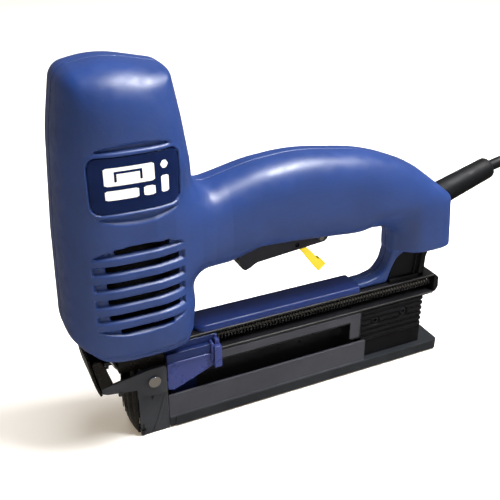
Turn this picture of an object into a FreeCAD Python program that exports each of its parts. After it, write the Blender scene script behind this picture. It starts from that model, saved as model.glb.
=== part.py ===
import FreeCAD, Part
import math
import os
import Sketcher

# Corded electric staple gun, millimetres.
# +Z is up, the nose points towards -X, and Y = 0 is the parting plane of the housing.
# The origin is on the ground under the middle of the tool's length and width.
# Places along the tool are given as a distance behind the nose plane: see behind().

V = FreeCAD.Vector
doc = FreeCAD.newDocument("StapleGun")

# ---------------------------------------------------------------- driving dimensions
DIMENSIONS = (
    ("nose_plane", -90.0, "X of the nose plane"),
    ("head_width", 62.0, "head, outside width"),
    ("handle_width", 40.0, "handle, outside width"),
    ("wall", 2.8, "housing wall"),
    ("web_width", 19.0, "web between tail and rail, width"),
    ("rail_width", 21.0, "magazine rail, outside width"),
    ("rail_top", 57.5, "magazine rail, top"),
    ("rail_shelf", 45.5, "magazine rail, top of the shelf"),
    ("rail_band", 37.0, "magazine rail, lower edge of its sides"),
    ("rail_rear", 203.0, "magazine rail, rear end behind the nose"),
    ("sheet_thick", 1.5, "steel sheet"),
    ("cover_width", 16.0, "rail cover, width"),
    ("cover_top", 68.2, "rail cover, top"),
    ("tray_width", 25.6, "tray foot, width"),
    ("tray_start", 20.4, "tray, front end behind the nose"),
    ("tray_rear", 210.0, "tray foot, rear end behind the nose"),
    ("plate_width", 24.2, "tray plate, outside width"),
    ("plate_top", 22.8, "tray plate, top"),
    ("plate_rear", 152.0, "tray plate, rear end behind the nose"),
    ("foot_top", 7.5, "tray foot, top"),
    ("block_front", 149.6, "grip block, front face behind the nose"),
    ("block_rear", 194.7, "grip block, rear face behind the nose"),
    ("block_bottom", 20.0, "grip block, underside"),
    ("block_top", 43.7, "grip block, top"),
    ("core_width", 4.4, "staple core, width"),
    ("core_top", 33.5, "staple core, top"),
    ("rivet_back", 12.0, "lever pivot, distance behind the nose"),
    ("rivet_up", 37.5, "lever pivot, height"),
    ("rivet_radius", 2.0, "lever pivot, shaft radius"),
    ("ear_gap", 25.8, "lever, inside width between its ears"),
    ("hinge_back", 4.0, "door hinge, distance behind the nose"),
    ("hinge_up", 4.0, "door hinge, height"),
    ("hinge_radius", 1.5, "door hinge, pin radius"),
    ("trigger_width", 13.0, "trigger, width"),
    ("trigger_back", 118.0, "trigger pivot, distance behind the nose"),
    ("trigger_up", 101.0, "trigger pivot, height"),
    ("safety_back", 103.3, "safety pivot, distance behind the nose"),
    ("safety_up", 98.5, "safety pivot, height"),
    ("pin_radius", 1.5, "trigger pin, radius"),
    ("plunger_radius", 9.0, "plunger, radius"),
    ("plunger_bottom", 118.0, "plunger, lower end at rest"),
    ("plunger_length", 64.0, "plunger, length"),
    ("bore_play", 0.1, "running clearance, on the radius"),
    ("axis_back", 4.0, "driver axis, distance behind the nose"),
    ("blade_width", 10.0, "driver blade, width"),
    ("blade_thick", 1.2, "driver blade, thickness"),
    ("blade_tip", 27.0, "driver blade, lower end at rest"),
    ("coil_bottom", 94.0, "bobbin, lower end"),
    ("coil_top", 156.0, "bobbin, upper end"),
    ("coil_radius", 20.5, "winding, outside radius"),
    ("screw_radius", 1.5, "housing screw, shaft radius"),
    ("head_radius", 3.2, "housing screw, head radius"),
    ("cord_diameter", 7.0, "mains cord, diameter"),
    ("relief_root", 7.75, "strain relief, radius at the housing"),
    ("relief_tip", 6.9, "strain relief, radius at its end"),
    ("relief_back", 200.0, "strain relief, inner end behind the nose"),
    ("relief_up", 107.2, "strain relief, height of the inner end"),
    ("relief_length", 45.0, "strain relief, length"),
    ("relief_rise", 17.8, "strain relief, slope in degrees"),
    ("hank_left", 325.0, "hank, centre of its left bends behind the nose"),
    ("hank_run", 100.0, "hank, straight between its bends"),
    ("hank_offset", -4.0, "hank, Y of its middle"),
    ("hank_radius", 38.7, "hank, half its width"),
    ("hank_hole", 17.5, "hank, half the width of its hole"),
    ("hank_height", 14.2, "hank, height"),
)

sheet = doc.addObject("Spreadsheet::Sheet", "Sizes")
for row, (alias, number, meaning) in enumerate(DIMENSIONS, 1):
    sheet.set(f"A{row}", meaning)
    sheet.set(f"B{row}", str(number))
    sheet.setAlias(f"B{row}", alias)
doc.recompute()


class Size:
    """A length that knows both its value and how it is worked out from the sheet."""

    def __init__(self, text, value):
        self.text, self.value = text, float(value)

    def join(self, sign, left, right, value):
        return Size(f"({as_size(left).text} {sign} {as_size(right).text})", value)

    def __add__(self, other):
        return self.join("+", self, other, self.value + as_size(other).value)

    def __radd__(self, other):
        return as_size(other) + self

    def __sub__(self, other):
        return self.join("-", self, other, self.value - as_size(other).value)

    def __rsub__(self, other):
        return as_size(other) - self

    def __mul__(self, other):
        return self.join("*", self, other, self.value * as_size(other).value)

    def __neg__(self):
        return self * -1

    def __truediv__(self, other):
        return self.join("/", self, other, self.value / as_size(other).value)


def as_size(value):
    return value if isinstance(value, Size) else Size(f"({float(value)})", value)


def cell(alias):
    return Size(f"Sizes.{alias}", sheet.get(alias))


def behind(distance):
    """X of a place that is this far behind the nose plane."""
    return cell("nose_plane") + distance


def number(value):
    return as_size(value).value


def bind(thing, prop, value):
    thing.setExpression(prop, as_size(value).text)


def place(thing, x, y, z, turn=None):
    """Put an object at a place that stays bound to the sheet."""
    thing.Placement = FreeCAD.Placement(V(number(x), number(y), number(z)), turn or FreeCAD.Rotation())
    for letter, value in zip("xyz", (x, y, z)):
        bind(thing, f"Placement.Base.{letter}", value)


TURN_TO = {
    "X": FreeCAD.Rotation(V(0, 1, 0), 90),
    "Y": FreeCAD.Rotation(V(1, 0, 0), -90),
    "Z": FreeCAD.Rotation(),
}


# ---------------------------------------------------------------- building blocks
def block(name, x, y, z):
    """A box between the two limits given along each axis."""
    made = doc.addObject("Part::Box", name)
    for prop, (low, high) in zip(("Length", "Width", "Height"), (x, y, z)):
        bind(made, prop, as_size(high) - low)
    place(made, x[0], y[0], z[0])
    return made


def rod(name, axis, centre, span, radius):
    """A cylinder along an axis. centre holds its two other coordinates, in X, Y, Z order."""
    made = doc.addObject("Part::Cylinder", name)
    bind(made, "Radius", radius)
    bind(made, "Height", as_size(span[1]) - span[0])
    where = list(centre)
    where.insert("XYZ".index(axis), span[0])
    place(made, *where, TURN_TO[axis])
    return made


def cone(name, foot, turn, length, root, tip):
    made = doc.addObject("Part::Cone", name)
    bind(made, "Height", length)
    bind(made, "Radius1", root)
    bind(made, "Radius2", tip)
    place(made, *foot, turn)
    return made


def fuse(name, *shapes):
    made = doc.addObject("Part::MultiFuse", name)
    made.Shapes = list(shapes)
    return made


def cut(name, base, *tools):
    made = doc.addObject("Part::Cut", name)
    made.Base = base
    made.Tool = tools[0] if len(tools) == 1 else fuse(name + "_tools", *tools)
    return made


def common(name, first, second):
    made = doc.addObject("Part::Common", name)
    made.Base, made.Tool = first, second
    return made


PAD_TURN = {
    "side": FreeCAD.Rotation(V(1, 0, 0), 90),
    "plan": FreeCAD.Rotation(),
    "end": FreeCAD.Rotation(V(0, 1, 0), V(0, 0, 1), V(1, 0, 0), "ZXY"),
}


def padded(name, view, depth, corners):
    """A body padded from an outline that is drawn in the side, plan or end view.

    depth holds the low and high limit across the view. A corner is (u, v) or (u, v, radius)."""
    body = doc.addObject("PartDesign::Body", name)
    sketch = body.newObject("Sketcher::SketchObject", name + "_outline")
    base = [f for f in body.Origin.OriginFeatures if f.Role == "XY_Plane"][0]
    sketch.AttachmentSupport = (base, "")
    sketch.MapMode = "FlatFace"
    flat = [V(number(c[0]), number(c[1]), 0) for c in corners]
    for start, end in zip(flat, flat[1:] + flat[:1]):
        sketch.addGeometry(Part.LineSegment(start, end))
    for i, corner in enumerate(corners):
        sketch.addConstraint(Sketcher.Constraint("Coincident", i, 2, (i + 1) % len(corners), 1))
    for i, corner in enumerate(corners):
        for kind, value in zip(("DistanceX", "DistanceY"), corner):
            fixed = sketch.addConstraint(Sketcher.Constraint(kind, -1, 1, i, 1, number(value)))
            if isinstance(value, Size):
                sketch.setExpression(f"Constraints[{fixed}]", value.text)
    pad = body.newObject("PartDesign::Pad", name + "_pad")
    pad.Profile = sketch
    bind(pad, "Length", as_size(depth[1]) - depth[0])
    where = {"side": (0, depth[1], 0), "plan": (0, 0, depth[0]), "end": (depth[0], 0, 0)}[view]
    place(body, *where, PAD_TURN[view])
    doc.recompute()
    tip = pad
    for radius in sorted({c[2] for c in corners if len(c) == 3}):
        ends = [flat[i] for i, c in enumerate(corners) if len(c) == 3 and c[2] == radius]
        names = [f"Edge{k}" for k, e in enumerate(tip.Shape.Edges, 1) if stands_on(e, ends)]
        tip = body.newObject("PartDesign::Fillet", f"{name}_round{radius}".replace(".", "_"))
        tip.Base = (body.Group[-2], names)
        tip.Radius = radius
        doc.recompute()
    body.Tip = tip
    return body


def stands_on(edge, corners):
    """Whether an edge runs straight up from one of these sketch corners."""
    a, b = (v.Point for v in (edge.Vertexes[0], edge.Vertexes[-1]))
    return any(math.hypot(p.x - c.x, p.y - c.y) < 1e-4 for c in corners for p in (a,)) and (
        math.hypot(a.x - b.x, a.y - b.y) < 1e-4 and abs(a.z - b.z) > 1e-4
    )


def own_shape(name, shape):
    made = doc.addObject("Part::Feature", name)
    made.Shape = shape
    made.Placement = FreeCAD.Placement()
    return made


def coil_spring(name, foot, turn, radius, wire, length, pitch):
    """A round-wire helical spring that starts at foot and runs along its own Z."""
    helix = doc.addObject("Part::Helix", name + "_line")
    bind(helix, "Radius", radius)
    bind(helix, "Height", length)
    bind(helix, "Pitch", pitch)
    section = doc.addObject("Part::Circle", name + "_wire")
    bind(section, "Radius", wire)
    section.Placement = FreeCAD.Placement(V(number(radius), 0, 0), FreeCAD.Rotation(V(1, 0, 0), 90))
    made = doc.addObject("Part::Sweep", name)
    made.Sections = [section]
    made.Spine = (helix, [])
    made.Solid = True
    made.Frenet = True
    place(made, *foot, turn)
    return made


# ---------------------------------------------------------------- free-form housing
def ring(points):
    """A closed smooth wire through points."""
    curve = Part.BSplineCurve()
    curve.interpolate(Points=points, PeriodicFlag=True)
    return Part.Wire([curve.toShape()])


def rounded(count, power, half_u, half_v):
    """Points of an ellipse with squarer shoulders: the power is 2 for a true ellipse."""
    for k in range(count):
        angle = 2 * math.pi * (k + 0.5) / count
        c, s = math.cos(angle), math.sin(angle)
        yield (
            math.copysign(abs(c) ** (2 / power), c) * half_u,
            math.copysign(abs(s) ** (2 / power), s) * half_v,
        )


# Head, level by level: height, front and rear behind the nose, share of the full width, squareness.
HEAD_LEVELS = (
    (62.5, -20.5, 30.5, 0.76, 2.7),
    (66.0, -25.0, 34.6, 0.88, 2.8),
    (74.0, -28.9, 37.6, 0.965, 2.9),
    (88.0, -30.0, 38.6, 0.99, 3.0),
    (105.0, -29.6, 38.8, 1.0, 3.0),
    (131.0, -29.1, 38.8, 1.0, 3.0),
    (157.0, -27.8, 38.4, 0.995, 3.0),
    (181.0, -25.3, 35.4, 0.965, 2.9),
    (196.0, -23.0, 32.4, 0.92, 2.8),
    (204.5, -20.8, 30.0, 0.85, 2.7),
    (210.0, -16.6, 25.2, 0.70, 2.6),
    (213.3, -7.0, 14.0, 0.34, 2.4),
)
# Handle and tail, station by station: place behind the nose, lower and upper edge, share of width.
HANDLE_STATIONS = (
    (24.0, 84.0, 166.0, 1.24, 2.6),
    (38.0, 88.5, 159.0, 1.17, 2.6),
    (45.0, 95.0, 150.2, 1.09, 2.6),
    (54.0, 98.0, 147.9, 1.03, 2.6),
    (75.0, 98.8, 151.0, 1.0, 2.6),
    (100.0, 99.0, 152.9, 0.99, 2.6),
    (123.0, 99.4, 151.5, 0.975, 2.6),
    (140.0, 100.2, 148.2, 0.955, 2.6),
    (150.0, 98.2, 146.0, 0.945, 2.7),
    (160.0, 86.0, 142.4, 0.93, 2.9),
    (172.0, 80.0, 137.4, 0.915, 3.2),
    (185.0, 79.0, 130.0, 0.89, 3.3),
    (198.0, 78.0, 120.0, 0.86, 3.3),
    (206.0, 77.4, 109.5, 0.83, 3.3),
    (209.4, 77.6, 100.0, 0.80, 3.3),
)
SECTION_POINTS = 20


def head_solid(inset, levels):
    """The head's outer form, or its cavity when inset is the wall's thickness."""
    half_width = number(cell("head_width") / 2)
    wires = []
    for height, front, rear, share, power in levels:
        half_x = (rear - front) / 2 - inset
        middle = number(behind((rear + front) / 2))
        half_y = half_width * share - inset
        wires.append(
            ring([V(middle + u, v, height) for u, v in rounded(SECTION_POINTS, power, half_x, half_y)])
        )
    return Part.makeLoft(wires, True, False)


def handle_solid(inset, stations):
    half_width = number(cell("handle_width") / 2)
    wires = []
    for back, low, high, share, power in stations:
        half_z = (high - low) / 2 - inset
        half_y = half_width * share - inset
        middle = (high + low) / 2
        x = number(behind(back))
        wires.append(
            ring([V(x, u, middle + v) for u, v in rounded(SECTION_POINTS, power, half_y, half_z)])
        )
    return Part.makeLoft(wires, True, False)


def side_prism(points, half_width):
    """A prism across the tool from points (place behind the nose, height)."""
    corners = [V(number(behind(x)), -half_width, z) for x, z in points]
    face = Part.Face(Part.makePolygon(corners + corners[:1]))
    return face.extrude(V(0, 2 * half_width, 0))


def box_shape(x, y, z):
    low = V(*(number(v[0]) for v in (x, y, z)))
    high = V(*(number(v[1]) for v in (x, y, z)))
    return Part.makeBox(*(high - low), low)


WEB_OUTLINE = (
    (147.0, 57.6), (168.0, 57.6), (168.6, 66.0), (170.8, 74.0), (176.0, 84.0),
    (158.0, 92.0), (159.4, 80.0), (157.4, 75.3), (153.0, 71.2), (147.0, 69.2),
)
WALL = number(cell("wall"))
outer_head = head_solid(0.0, HEAD_LEVELS)
outer_handle = handle_solid(0.0, HANDLE_STATIONS)
web = side_prism(WEB_OUTLINE, number(cell("web_width") / 2))
outer_form = outer_head.fuse([outer_handle, web])
cavity_levels = tuple(
    (max(height, HEAD_LEVELS[0][0] + WALL), *rest) for height, *rest in HEAD_LEVELS[1:10]
)
inner_head = head_solid(WALL, cavity_levels)
inner_handle = handle_solid(WALL, HANDLE_STATIONS[:-1])
cavity = inner_head.fuse(inner_handle)
hollow = outer_form.cut(cavity)

# Screw bosses: place behind the nose and height.
BOSSES = (
    (-18.0, 177.0), (27.0, 177.0), (-19.5, 77.0), (28.0, 77.0),
    (57.0, 122.0), (140.0, 127.0), (196.0, 91.0),
)
BOSS_RADIUS = 5.2
SEAT = 11.0  # Y of the seats under the screw heads
HEAD_HEIGHT = 2.6
SCREW_REACH = 9.0  # how far a screw bites past the parting plane
SCREW_R = number(cell("screw_radius"))
HEAD_R = number(cell("head_radius"))
reach_y = number(cell("head_width") / 2) + 5


def across(back, height, radius, low, high):
    """A cylinder along Y."""
    return Part.makeCylinder(radius, high - low, V(number(behind(back)), low, height), V(0, 1, 0))


posts = [across(back, height, BOSS_RADIUS, -reach_y, reach_y) for back, height in BOSSES]
hollow = hollow.fuse([post.common(outer_form) for post in posts])

# Openings through the housing.
HALF_TRIGGER = number(cell("trigger_width") / 2) + 0.4
nose_passage = box_shape((behind(-6.2), behind(20.2)), (-9.2, 9.2), (60.0, 70.0))
trigger_slot = box_shape((behind(63.0), behind(125.2)), (-HALF_TRIGGER, HALF_TRIGGER), (86.0, 111.5))
rise = math.radians(number(cell("relief_rise")))
relief_way = V(math.cos(rise), 0, math.sin(rise))
relief_foot = V(number(behind(cell("relief_back"))), 0, number(cell("relief_up")))
relief_hole = Part.makeCylinder(number(cell("relief_root")) + 0.05, 60, relief_foot, relief_way)
VENT_FIRST = 124.0  # height of the top vent's middle
VENT_STEP = 8.9
VENT_COUNT = 6
VENT_HEIGHT = 4.2
vents = []
for k in range(VENT_COUNT):
    middle = VENT_FIRST - k * VENT_STEP
    tall = VENT_HEIGHT if 0 < k < VENT_COUNT - 1 else VENT_HEIGHT * 0.8
    vents += [
        box_shape((behind(-16.0), behind(29.5)), ys, (middle - tall / 2, middle + tall / 2))
        for ys in ((-40, -20), (20, 40))
    ]
hollow = hollow.cut([nose_passage, trigger_slot, relief_hole, *vents])

# Badge: a thin plate let into the near side of the head.
BADGE_THICK = 1.0
badge_window = box_shape((behind(-15.0), behind(26.5)), (-40, -15), (150.0, 176.0))
under_badge = head_solid(BADGE_THICK, HEAD_LEVELS[4:9])
badge_shape = outer_head.common(badge_window).cut(under_badge)
hollow = hollow.cut(badge_shape)

# Trigger pin holes, then the two halves.
pin_hole = across(
    number(cell("trigger_back")), number(cell("trigger_up")), number(cell("pin_radius")), -9.0, 9.0,
)
far_side = box_shape((-200, 200), (0, 60), (0, 300))
near_side = box_shape((-200, 200), (-60, 0), (0, 300))
pilots = [across(b, h, SCREW_R, -SCREW_REACH, 0.0) for b, h in BOSSES]
clearance = [across(b, h, SCREW_R, 0.0, SEAT) for b, h in BOSSES]
counterbores = [across(b, h, HEAD_R, SEAT, 40.0) for b, h in BOSSES]
left_shape = hollow.common(near_side).cut([pin_hole, *pilots])
right_shape = hollow.common(far_side).cut([pin_hole, *clearance, *counterbores])


def main_solid(shape):
    """The shape's largest solid, without slivers."""
    return max(shape.Solids, key=lambda s: s.Volume)


nodes = {}
nodes["housing_left"] = own_shape("housing_left", main_solid(left_shape))
nodes["housing_right"] = own_shape("housing_right", main_solid(right_shape))
nodes["badge_plate"] = own_shape("badge_plate", main_solid(badge_shape))

screw_parts = []
for k, (back, height) in enumerate(BOSSES):
    centre = (behind(back), height)
    screw_parts.append(rod(f"screw_shaft_{k}", "Y", centre, (-SCREW_REACH, SEAT), cell("screw_radius")))
    screw_parts.append(rod(f"screw_head_{k}", "Y", centre, (SEAT, SEAT + HEAD_HEIGHT), cell("head_radius")))
nodes["housing_screws"] = fuse("housing_screws", *screw_parts)

# ---------------------------------------------------------------- magazine rail
HALF_RAIL = cell("rail_width") / 2
THICK = cell("sheet_thick")
RAIL_START = 20.0
BAND_REAR = 149.2
BAR_WIDTH = 7.2
BAR_BOTTOM = 24.0
SHELF_TOP = cell("rail_shelf")
rail_span = (behind(RAIL_START), behind(cell("rail_rear")))
band_span = (behind(RAIL_START), behind(BAND_REAR))
bar_span = (behind(BAND_REAR - BAR_WIDTH), behind(BAND_REAR))
far_wall = (HALF_RAIL - THICK, HALF_RAIL)
near_wall = (-HALF_RAIL, THICK - HALF_RAIL)
rail_solid = fuse(
    "rail_solid",
    block(
        "rail_top_flange", rail_span, (1 - HALF_RAIL, HALF_RAIL),
        (cell("rail_top") - THICK, cell("rail_top")),
    ),
    block("rail_shelf_strip", rail_span, (-HALF_RAIL, HALF_RAIL), (SHELF_TOP - THICK, SHELF_TOP)),
    block("rail_far_wall", rail_span, far_wall, (SHELF_TOP - THICK, cell("rail_top"))),
    block("rail_far_band", band_span, far_wall, (cell("rail_band"), SHELF_TOP)),
    block("rail_near_band", band_span, near_wall, (cell("rail_band"), SHELF_TOP)),
    block("rail_far_bar", bar_span, far_wall, (BAR_BOTTOM, cell("rail_band"))),
    block("rail_near_bar", bar_span, near_wall, (BAR_BOTTOM, cell("rail_band"))),
)
shelf_slot = block(
    "shelf_slot", (behind(RAIL_START - 1), behind(147.0)), (-3.1, 3.1), (SHELF_TOP - 3, SHELF_TOP + 1),
)
nodes["magazine_rail"] = cut("magazine_rail", rail_solid, shelf_slot)

END_CAP = ((203.0, 44.4), (205.6, 44.4, 1.5), (207.0, 47.0, 1.2), (206.6, 54.0, 2.0), (203.0, 58.2, 1.5))
cap_body = padded(
    "end_cap_body", "side", (0.5 - HALF_RAIL, HALF_RAIL), [(behind(c[0]), *c[1:]) for c in END_CAP]
)
ROD_Y, ROD_Z, ROD_R = -4.0, 50.7, 1.2
rod_hole = rod("end_cap_hole", "X", (ROD_Y, ROD_Z), (behind(202.0), behind(205.0)), ROD_R)
nodes["rail_end_cap"] = cut("rail_end_cap", cap_body, rod_hole)
nodes["spring_rod"] = rod("spring_rod", "X", (ROD_Y, ROD_Z), (behind(RAIL_START), behind(205.0)), ROD_R)

PUSHER_FRONT, PUSHER_REAR = 24.5, 51.7
SPRING_R, SPRING_WIRE = 2.9, 0.45
nodes["pusher_spring"] = cut(
    "pusher_spring",
    rod(
        "spring_outside", "X", (ROD_Y, ROD_Z),
        (behind(PUSHER_REAR + 0.4), behind(202.6)), SPRING_R + SPRING_WIRE,
    ),
    rod("spring_inside", "X", (ROD_Y, ROD_Z), (behind(PUSHER_REAR), behind(203.0)), SPRING_R - SPRING_WIRE),
)

cover_profile = padded(
    "cover_profile",
    "end",
    (behind(38.9), behind(146.9)),
    [
        (-cell("cover_width") / 2, cell("rail_top")),
        (cell("cover_width") / 2, cell("rail_top")),
        (cell("cover_width") / 2, cell("cover_top"), 4.0),
        (-cell("cover_width") / 2, cell("cover_top"), 4.0),
    ],
)
nodes["rail_cover"] = cover_profile

BRACKET = (
    (168.8, 57.5), (195.0, 57.5, 1.0), (195.4, 72.0),
    (197.4, 76.0), (198.0, 76.9), (185.0, 78.0), (174.6, 78.8),
    (171.8, 74.0), (169.6, 66.0),
)
nodes["rear_bracket"] = padded(
    "rear_bracket", "side", (-8.0, 8.0), [(behind(c[0]), *c[1:]) for c in BRACKET],
)

# ---------------------------------------------------------------- nose
BODY_FRONT, BODY_REAR = 5.2, 20.0
SLOT_HALF = 3.6
HALF_BLADE = cell("blade_width") / 2
AXIS_X = behind(cell("axis_back"))
nose_solid = fuse(
    "nose_solid",
    block("nose_guide", (behind(BODY_FRONT), behind(BODY_REAR)), (-10.6, 10.6), (0.0, 45.0)),
    block("nose_neck", (behind(-6.0), behind(BODY_REAR)), (-9.0, 9.0), (45.0, 66.0)),
)
nodes["nose_body"] = cut(
    "nose_body",
    nose_solid,
    block(
        "staple_slot", (behind(BODY_FRONT - 1), behind(BODY_REAR + 1)),
        (-SLOT_HALF, SLOT_HALF), (-1.0, 35.0),
    ),
    block(
        "blade_slot",
        (AXIS_X - cell("blade_thick") / 2 - 0.3, AXIS_X + cell("blade_thick") / 2 + 0.3),
        (-HALF_BLADE - 0.4, HALF_BLADE + 0.4),
        (44.0, 67.0),
    ),
    block("knuckle_room_near", (behind(BODY_FRONT - 1), behind(8.4)), (-10.7, -8.0), (-1.0, 9.0)),
    block("knuckle_room_far", (behind(BODY_FRONT - 1), behind(8.4)), (8.0, 10.7), (-1.0, 9.0)),
    rod(
        "rivet_bore", "Y", (behind(cell("rivet_back")), cell("rivet_up")),
        (-11.0, 11.0), cell("rivet_radius"),
    ),
)

SIDE_PLATE = (
    (2.7, 0.0), (BODY_REAR, 0.0), (BODY_REAR, 45.0, 3.0), (2.7, 45.0, 3.0),
)
side_plates = [
    padded(f"side_plate_{side}", "side", depth, [(behind(c[0]), *c[1:]) for c in SIDE_PLATE])
    for side, depth in (("near", (-12.2, -10.7)), ("far", (10.7, 12.2)))
]
nodes["nose_side_plates"] = cut(
    "nose_side_plates",
    fuse("side_plates_both", *side_plates),
    rod(
        "plate_rivet_hole", "Y", (behind(cell("rivet_back")), cell("rivet_up")),
        (-13.0, 13.0), cell("rivet_radius"),
    ),
    rod(
        "plate_pin_hole", "Y", (behind(cell("hinge_back")), cell("hinge_up")),
        (-13.0, 13.0), cell("hinge_radius"),
    ),
)

HEAD_FROM, HEAD_TO = 14.75, 16.6
dome_cut = block("dome_room", (behind(-10.0), behind(30.0)), (-HEAD_FROM, HEAD_FROM), (20.0, 60.0))
rivet_centre = (behind(cell("rivet_back")), cell("rivet_up"))
nodes["lever_rivet"] = fuse(
    "lever_rivet",
    rod("rivet_shaft", "Y", rivet_centre, (-HEAD_FROM, HEAD_FROM), cell("rivet_radius")),
    rod("rivet_head_near", "Y", rivet_centre, (-HEAD_TO, -HEAD_FROM), 3.8),
    rod("rivet_head_far", "Y", rivet_centre, (HEAD_FROM, HEAD_TO), 3.8),
)
hinge_centre = (behind(cell("hinge_back")), cell("hinge_up"))
nodes["door_pins"] = fuse(
    "door_pins",
    rod("door_pin_near", "Y", hinge_centre, (-12.2, -8.2), cell("hinge_radius")),
    rod("door_pin_far", "Y", hinge_centre, (8.2, 12.2), cell("hinge_radius")),
)

CLIP_PATH = ((-10.0, 53.0), (-7.0, 45.6), (-6.0, 45.6), (-6.0, 46.6), (-6.6, 46.6), (-9.2, 53.4))
nodes["latch_spring"] = padded(
    "latch_spring", "side", (-5.0, 3.0), [(behind(x), z) for x, z in CLIP_PATH]
)

# ---------------------------------------------------------------- release lever
EAR_IN = cell("ear_gap") / 2
EAR_OUT = EAR_IN + THICK
EAR = (
    (-17.6, 41.4), (-17.3, 38.2), (-15.2, 37.0, 1.0), (1.9, 34.2), (1.9, 27.6, 1.0), (19.3, 28.8, 1.5),
    (19.3, 45.4, 3.0), (8.0, 46.3), (-4.0, 43.6),
)
ears = [
    padded(f"lever_ear_{side}", "side", depth, [(behind(c[0]), *c[1:]) for c in EAR])
    for side, depth in (("near", (-EAR_OUT, -EAR_IN)), ("far", (EAR_IN, EAR_OUT)))
]
TONGUE = (
    (-17.3, 38.2), (-17.6, 41.4), (-19.0, 45.0), (-20.2, 51.0), (-21.3, 59.6), (-22.8, 59.8),
    (-21.8, 51.0), (-20.6, 45.0), (-18.9, 39.4), (-18.0, 37.8),
)
tongue = padded("lever_tongue", "side", (-EAR_OUT, EAR_OUT), [(behind(x), z) for x, z in TONGUE])
nodes["release_lever"] = cut(
    "release_lever",
    fuse("lever_all", tongue, *ears),
    rod("ear_holes", "Y", rivet_centre, (-20.0, 20.0), cell("rivet_radius") + 0.05),
)

# ---------------------------------------------------------------- nose door
DOOR_BACK = 2.3
door_side = padded(
    "door_side",
    "side",
    (-12.2, 12.2),
    [
        (behind(DOOR_BACK), 2.4), (behind(1.4), 1.0), (behind(0.2), 2.6), (behind(-0.9), 6.0),
        (behind(-2.0), 12.0), (behind(-3.0), 20.0), (behind(-3.0), 33.4), (behind(DOOR_BACK), 33.4),
    ],
)
door_plan = padded(
    "door_plan",
    "plan",
    (0.0, 40.0),
    [
        (behind(DOOR_BACK), -12.2), (behind(DOOR_BACK), 12.2), (behind(0.4), 12.2), (behind(-1.6), 9.0),
        (behind(-2.7), 5.0), (behind(-3.0), 0.0), (behind(-2.7), -5.0),
        (behind(-1.6), -9.0), (behind(0.4), -12.2),
    ],
)
knuckles = [
    fuse(
        f"knuckle_{side}",
        block(f"knuckle_arm_{side}", (behind(DOOR_BACK - 1), behind(4.0)), depth, (1.6, 6.4)),
        rod(f"knuckle_eye_{side}", "Y", hinge_centre, depth, 2.8),
    )
    for side, depth in (("near", (-10.4, -8.3)), ("far", (8.3, 10.4)))
]
door_solid = fuse("door_solid", common("door_front", door_side, door_plan), *knuckles)
flutes = [
    block(f"door_flute_{k}", (behind(-4.0), behind(-1.2)), (low, low + 2.6), (12.0, 34.0))
    for k, low in enumerate((-8.6, -1.3, 6.0))
]
nodes["nose_door"] = cut(
    "nose_door",
    door_solid,
    rod("knuckle_bore", "Y", hinge_centre, (-13.0, 13.0), cell("hinge_radius") + 0.05),
    *flutes,
    *[
        block(f"door_notch_{side}", (behind(-4.0), behind(3.0)), depth, (0.0, 9.5))
        for side, depth in (("near", (-13.0, -10.5)), ("far", (10.5, 13.0)))
    ],
)

# ---------------------------------------------------------------- tray that slides back for loading
HALF_TRAY = cell("tray_width") / 2
HALF_PLATE = cell("plate_width") / 2
FOOT_TOP = cell("foot_top")
PAD_FRONT = 186.0
FOOT_GAP = 0.8
SLAB_TOP = 1.6
foot_body = padded(
    "foot_body",
    "plan",
    (FOOT_GAP, FOOT_TOP),
    [
        (behind(cell("tray_start")), -HALF_TRAY),
        (behind(cell("tray_rear")), -HALF_TRAY, 3.0),
        (behind(cell("tray_rear")), HALF_TRAY, 3.0),
        (behind(cell("tray_start")), HALF_TRAY),
    ],
)
foot_solid = fuse(
    "foot_solid",
    foot_body,
    block(
        "foot_pad",
        (behind(PAD_FRONT), behind(cell("tray_rear") - 3)),
        (-HALF_TRAY + 1, HALF_TRAY - 1),
        (0.0, FOOT_GAP + 1),
    ),
    block(
        "foot_pedestal", (behind(cell("plate_rear") + 0.5), behind(cell("block_rear"))),
        (-8.0, 8.0), (FOOT_TOP - 1, cell("block_bottom")),
    ),
)
foot_channel = block(
    "foot_channel",
    (behind(cell("tray_start") - 1), behind(cell("plate_rear"))),
    (-HALF_PLATE, HALF_PLATE),
    (SLAB_TOP, FOOT_TOP + 1),
)
nodes["tray_foot"] = cut("tray_foot", foot_solid, foot_channel)
tray_span = (behind(cell("tray_start") + 0.6), behind(cell("plate_rear")))
nodes["tray_channel"] = cut(
    "tray_channel",
    block("channel_outside", tray_span, (-HALF_PLATE, HALF_PLATE), (SLAB_TOP, cell("plate_top"))),
    block(
        "channel_inside",
        (behind(cell("tray_start")), behind(cell("plate_rear") + 1)),
        (THICK - HALF_PLATE, HALF_PLATE - THICK),
        (THICK + SLAB_TOP, cell("plate_top") + 1),
    ),
)
HALF_CORE = cell("core_width") / 2
nodes["staple_core"] = block(
    "staple_core", (behind(6.2), behind(cell("block_front"))), (-HALF_CORE, HALF_CORE), (8.0, cell("core_top"))
)

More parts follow.
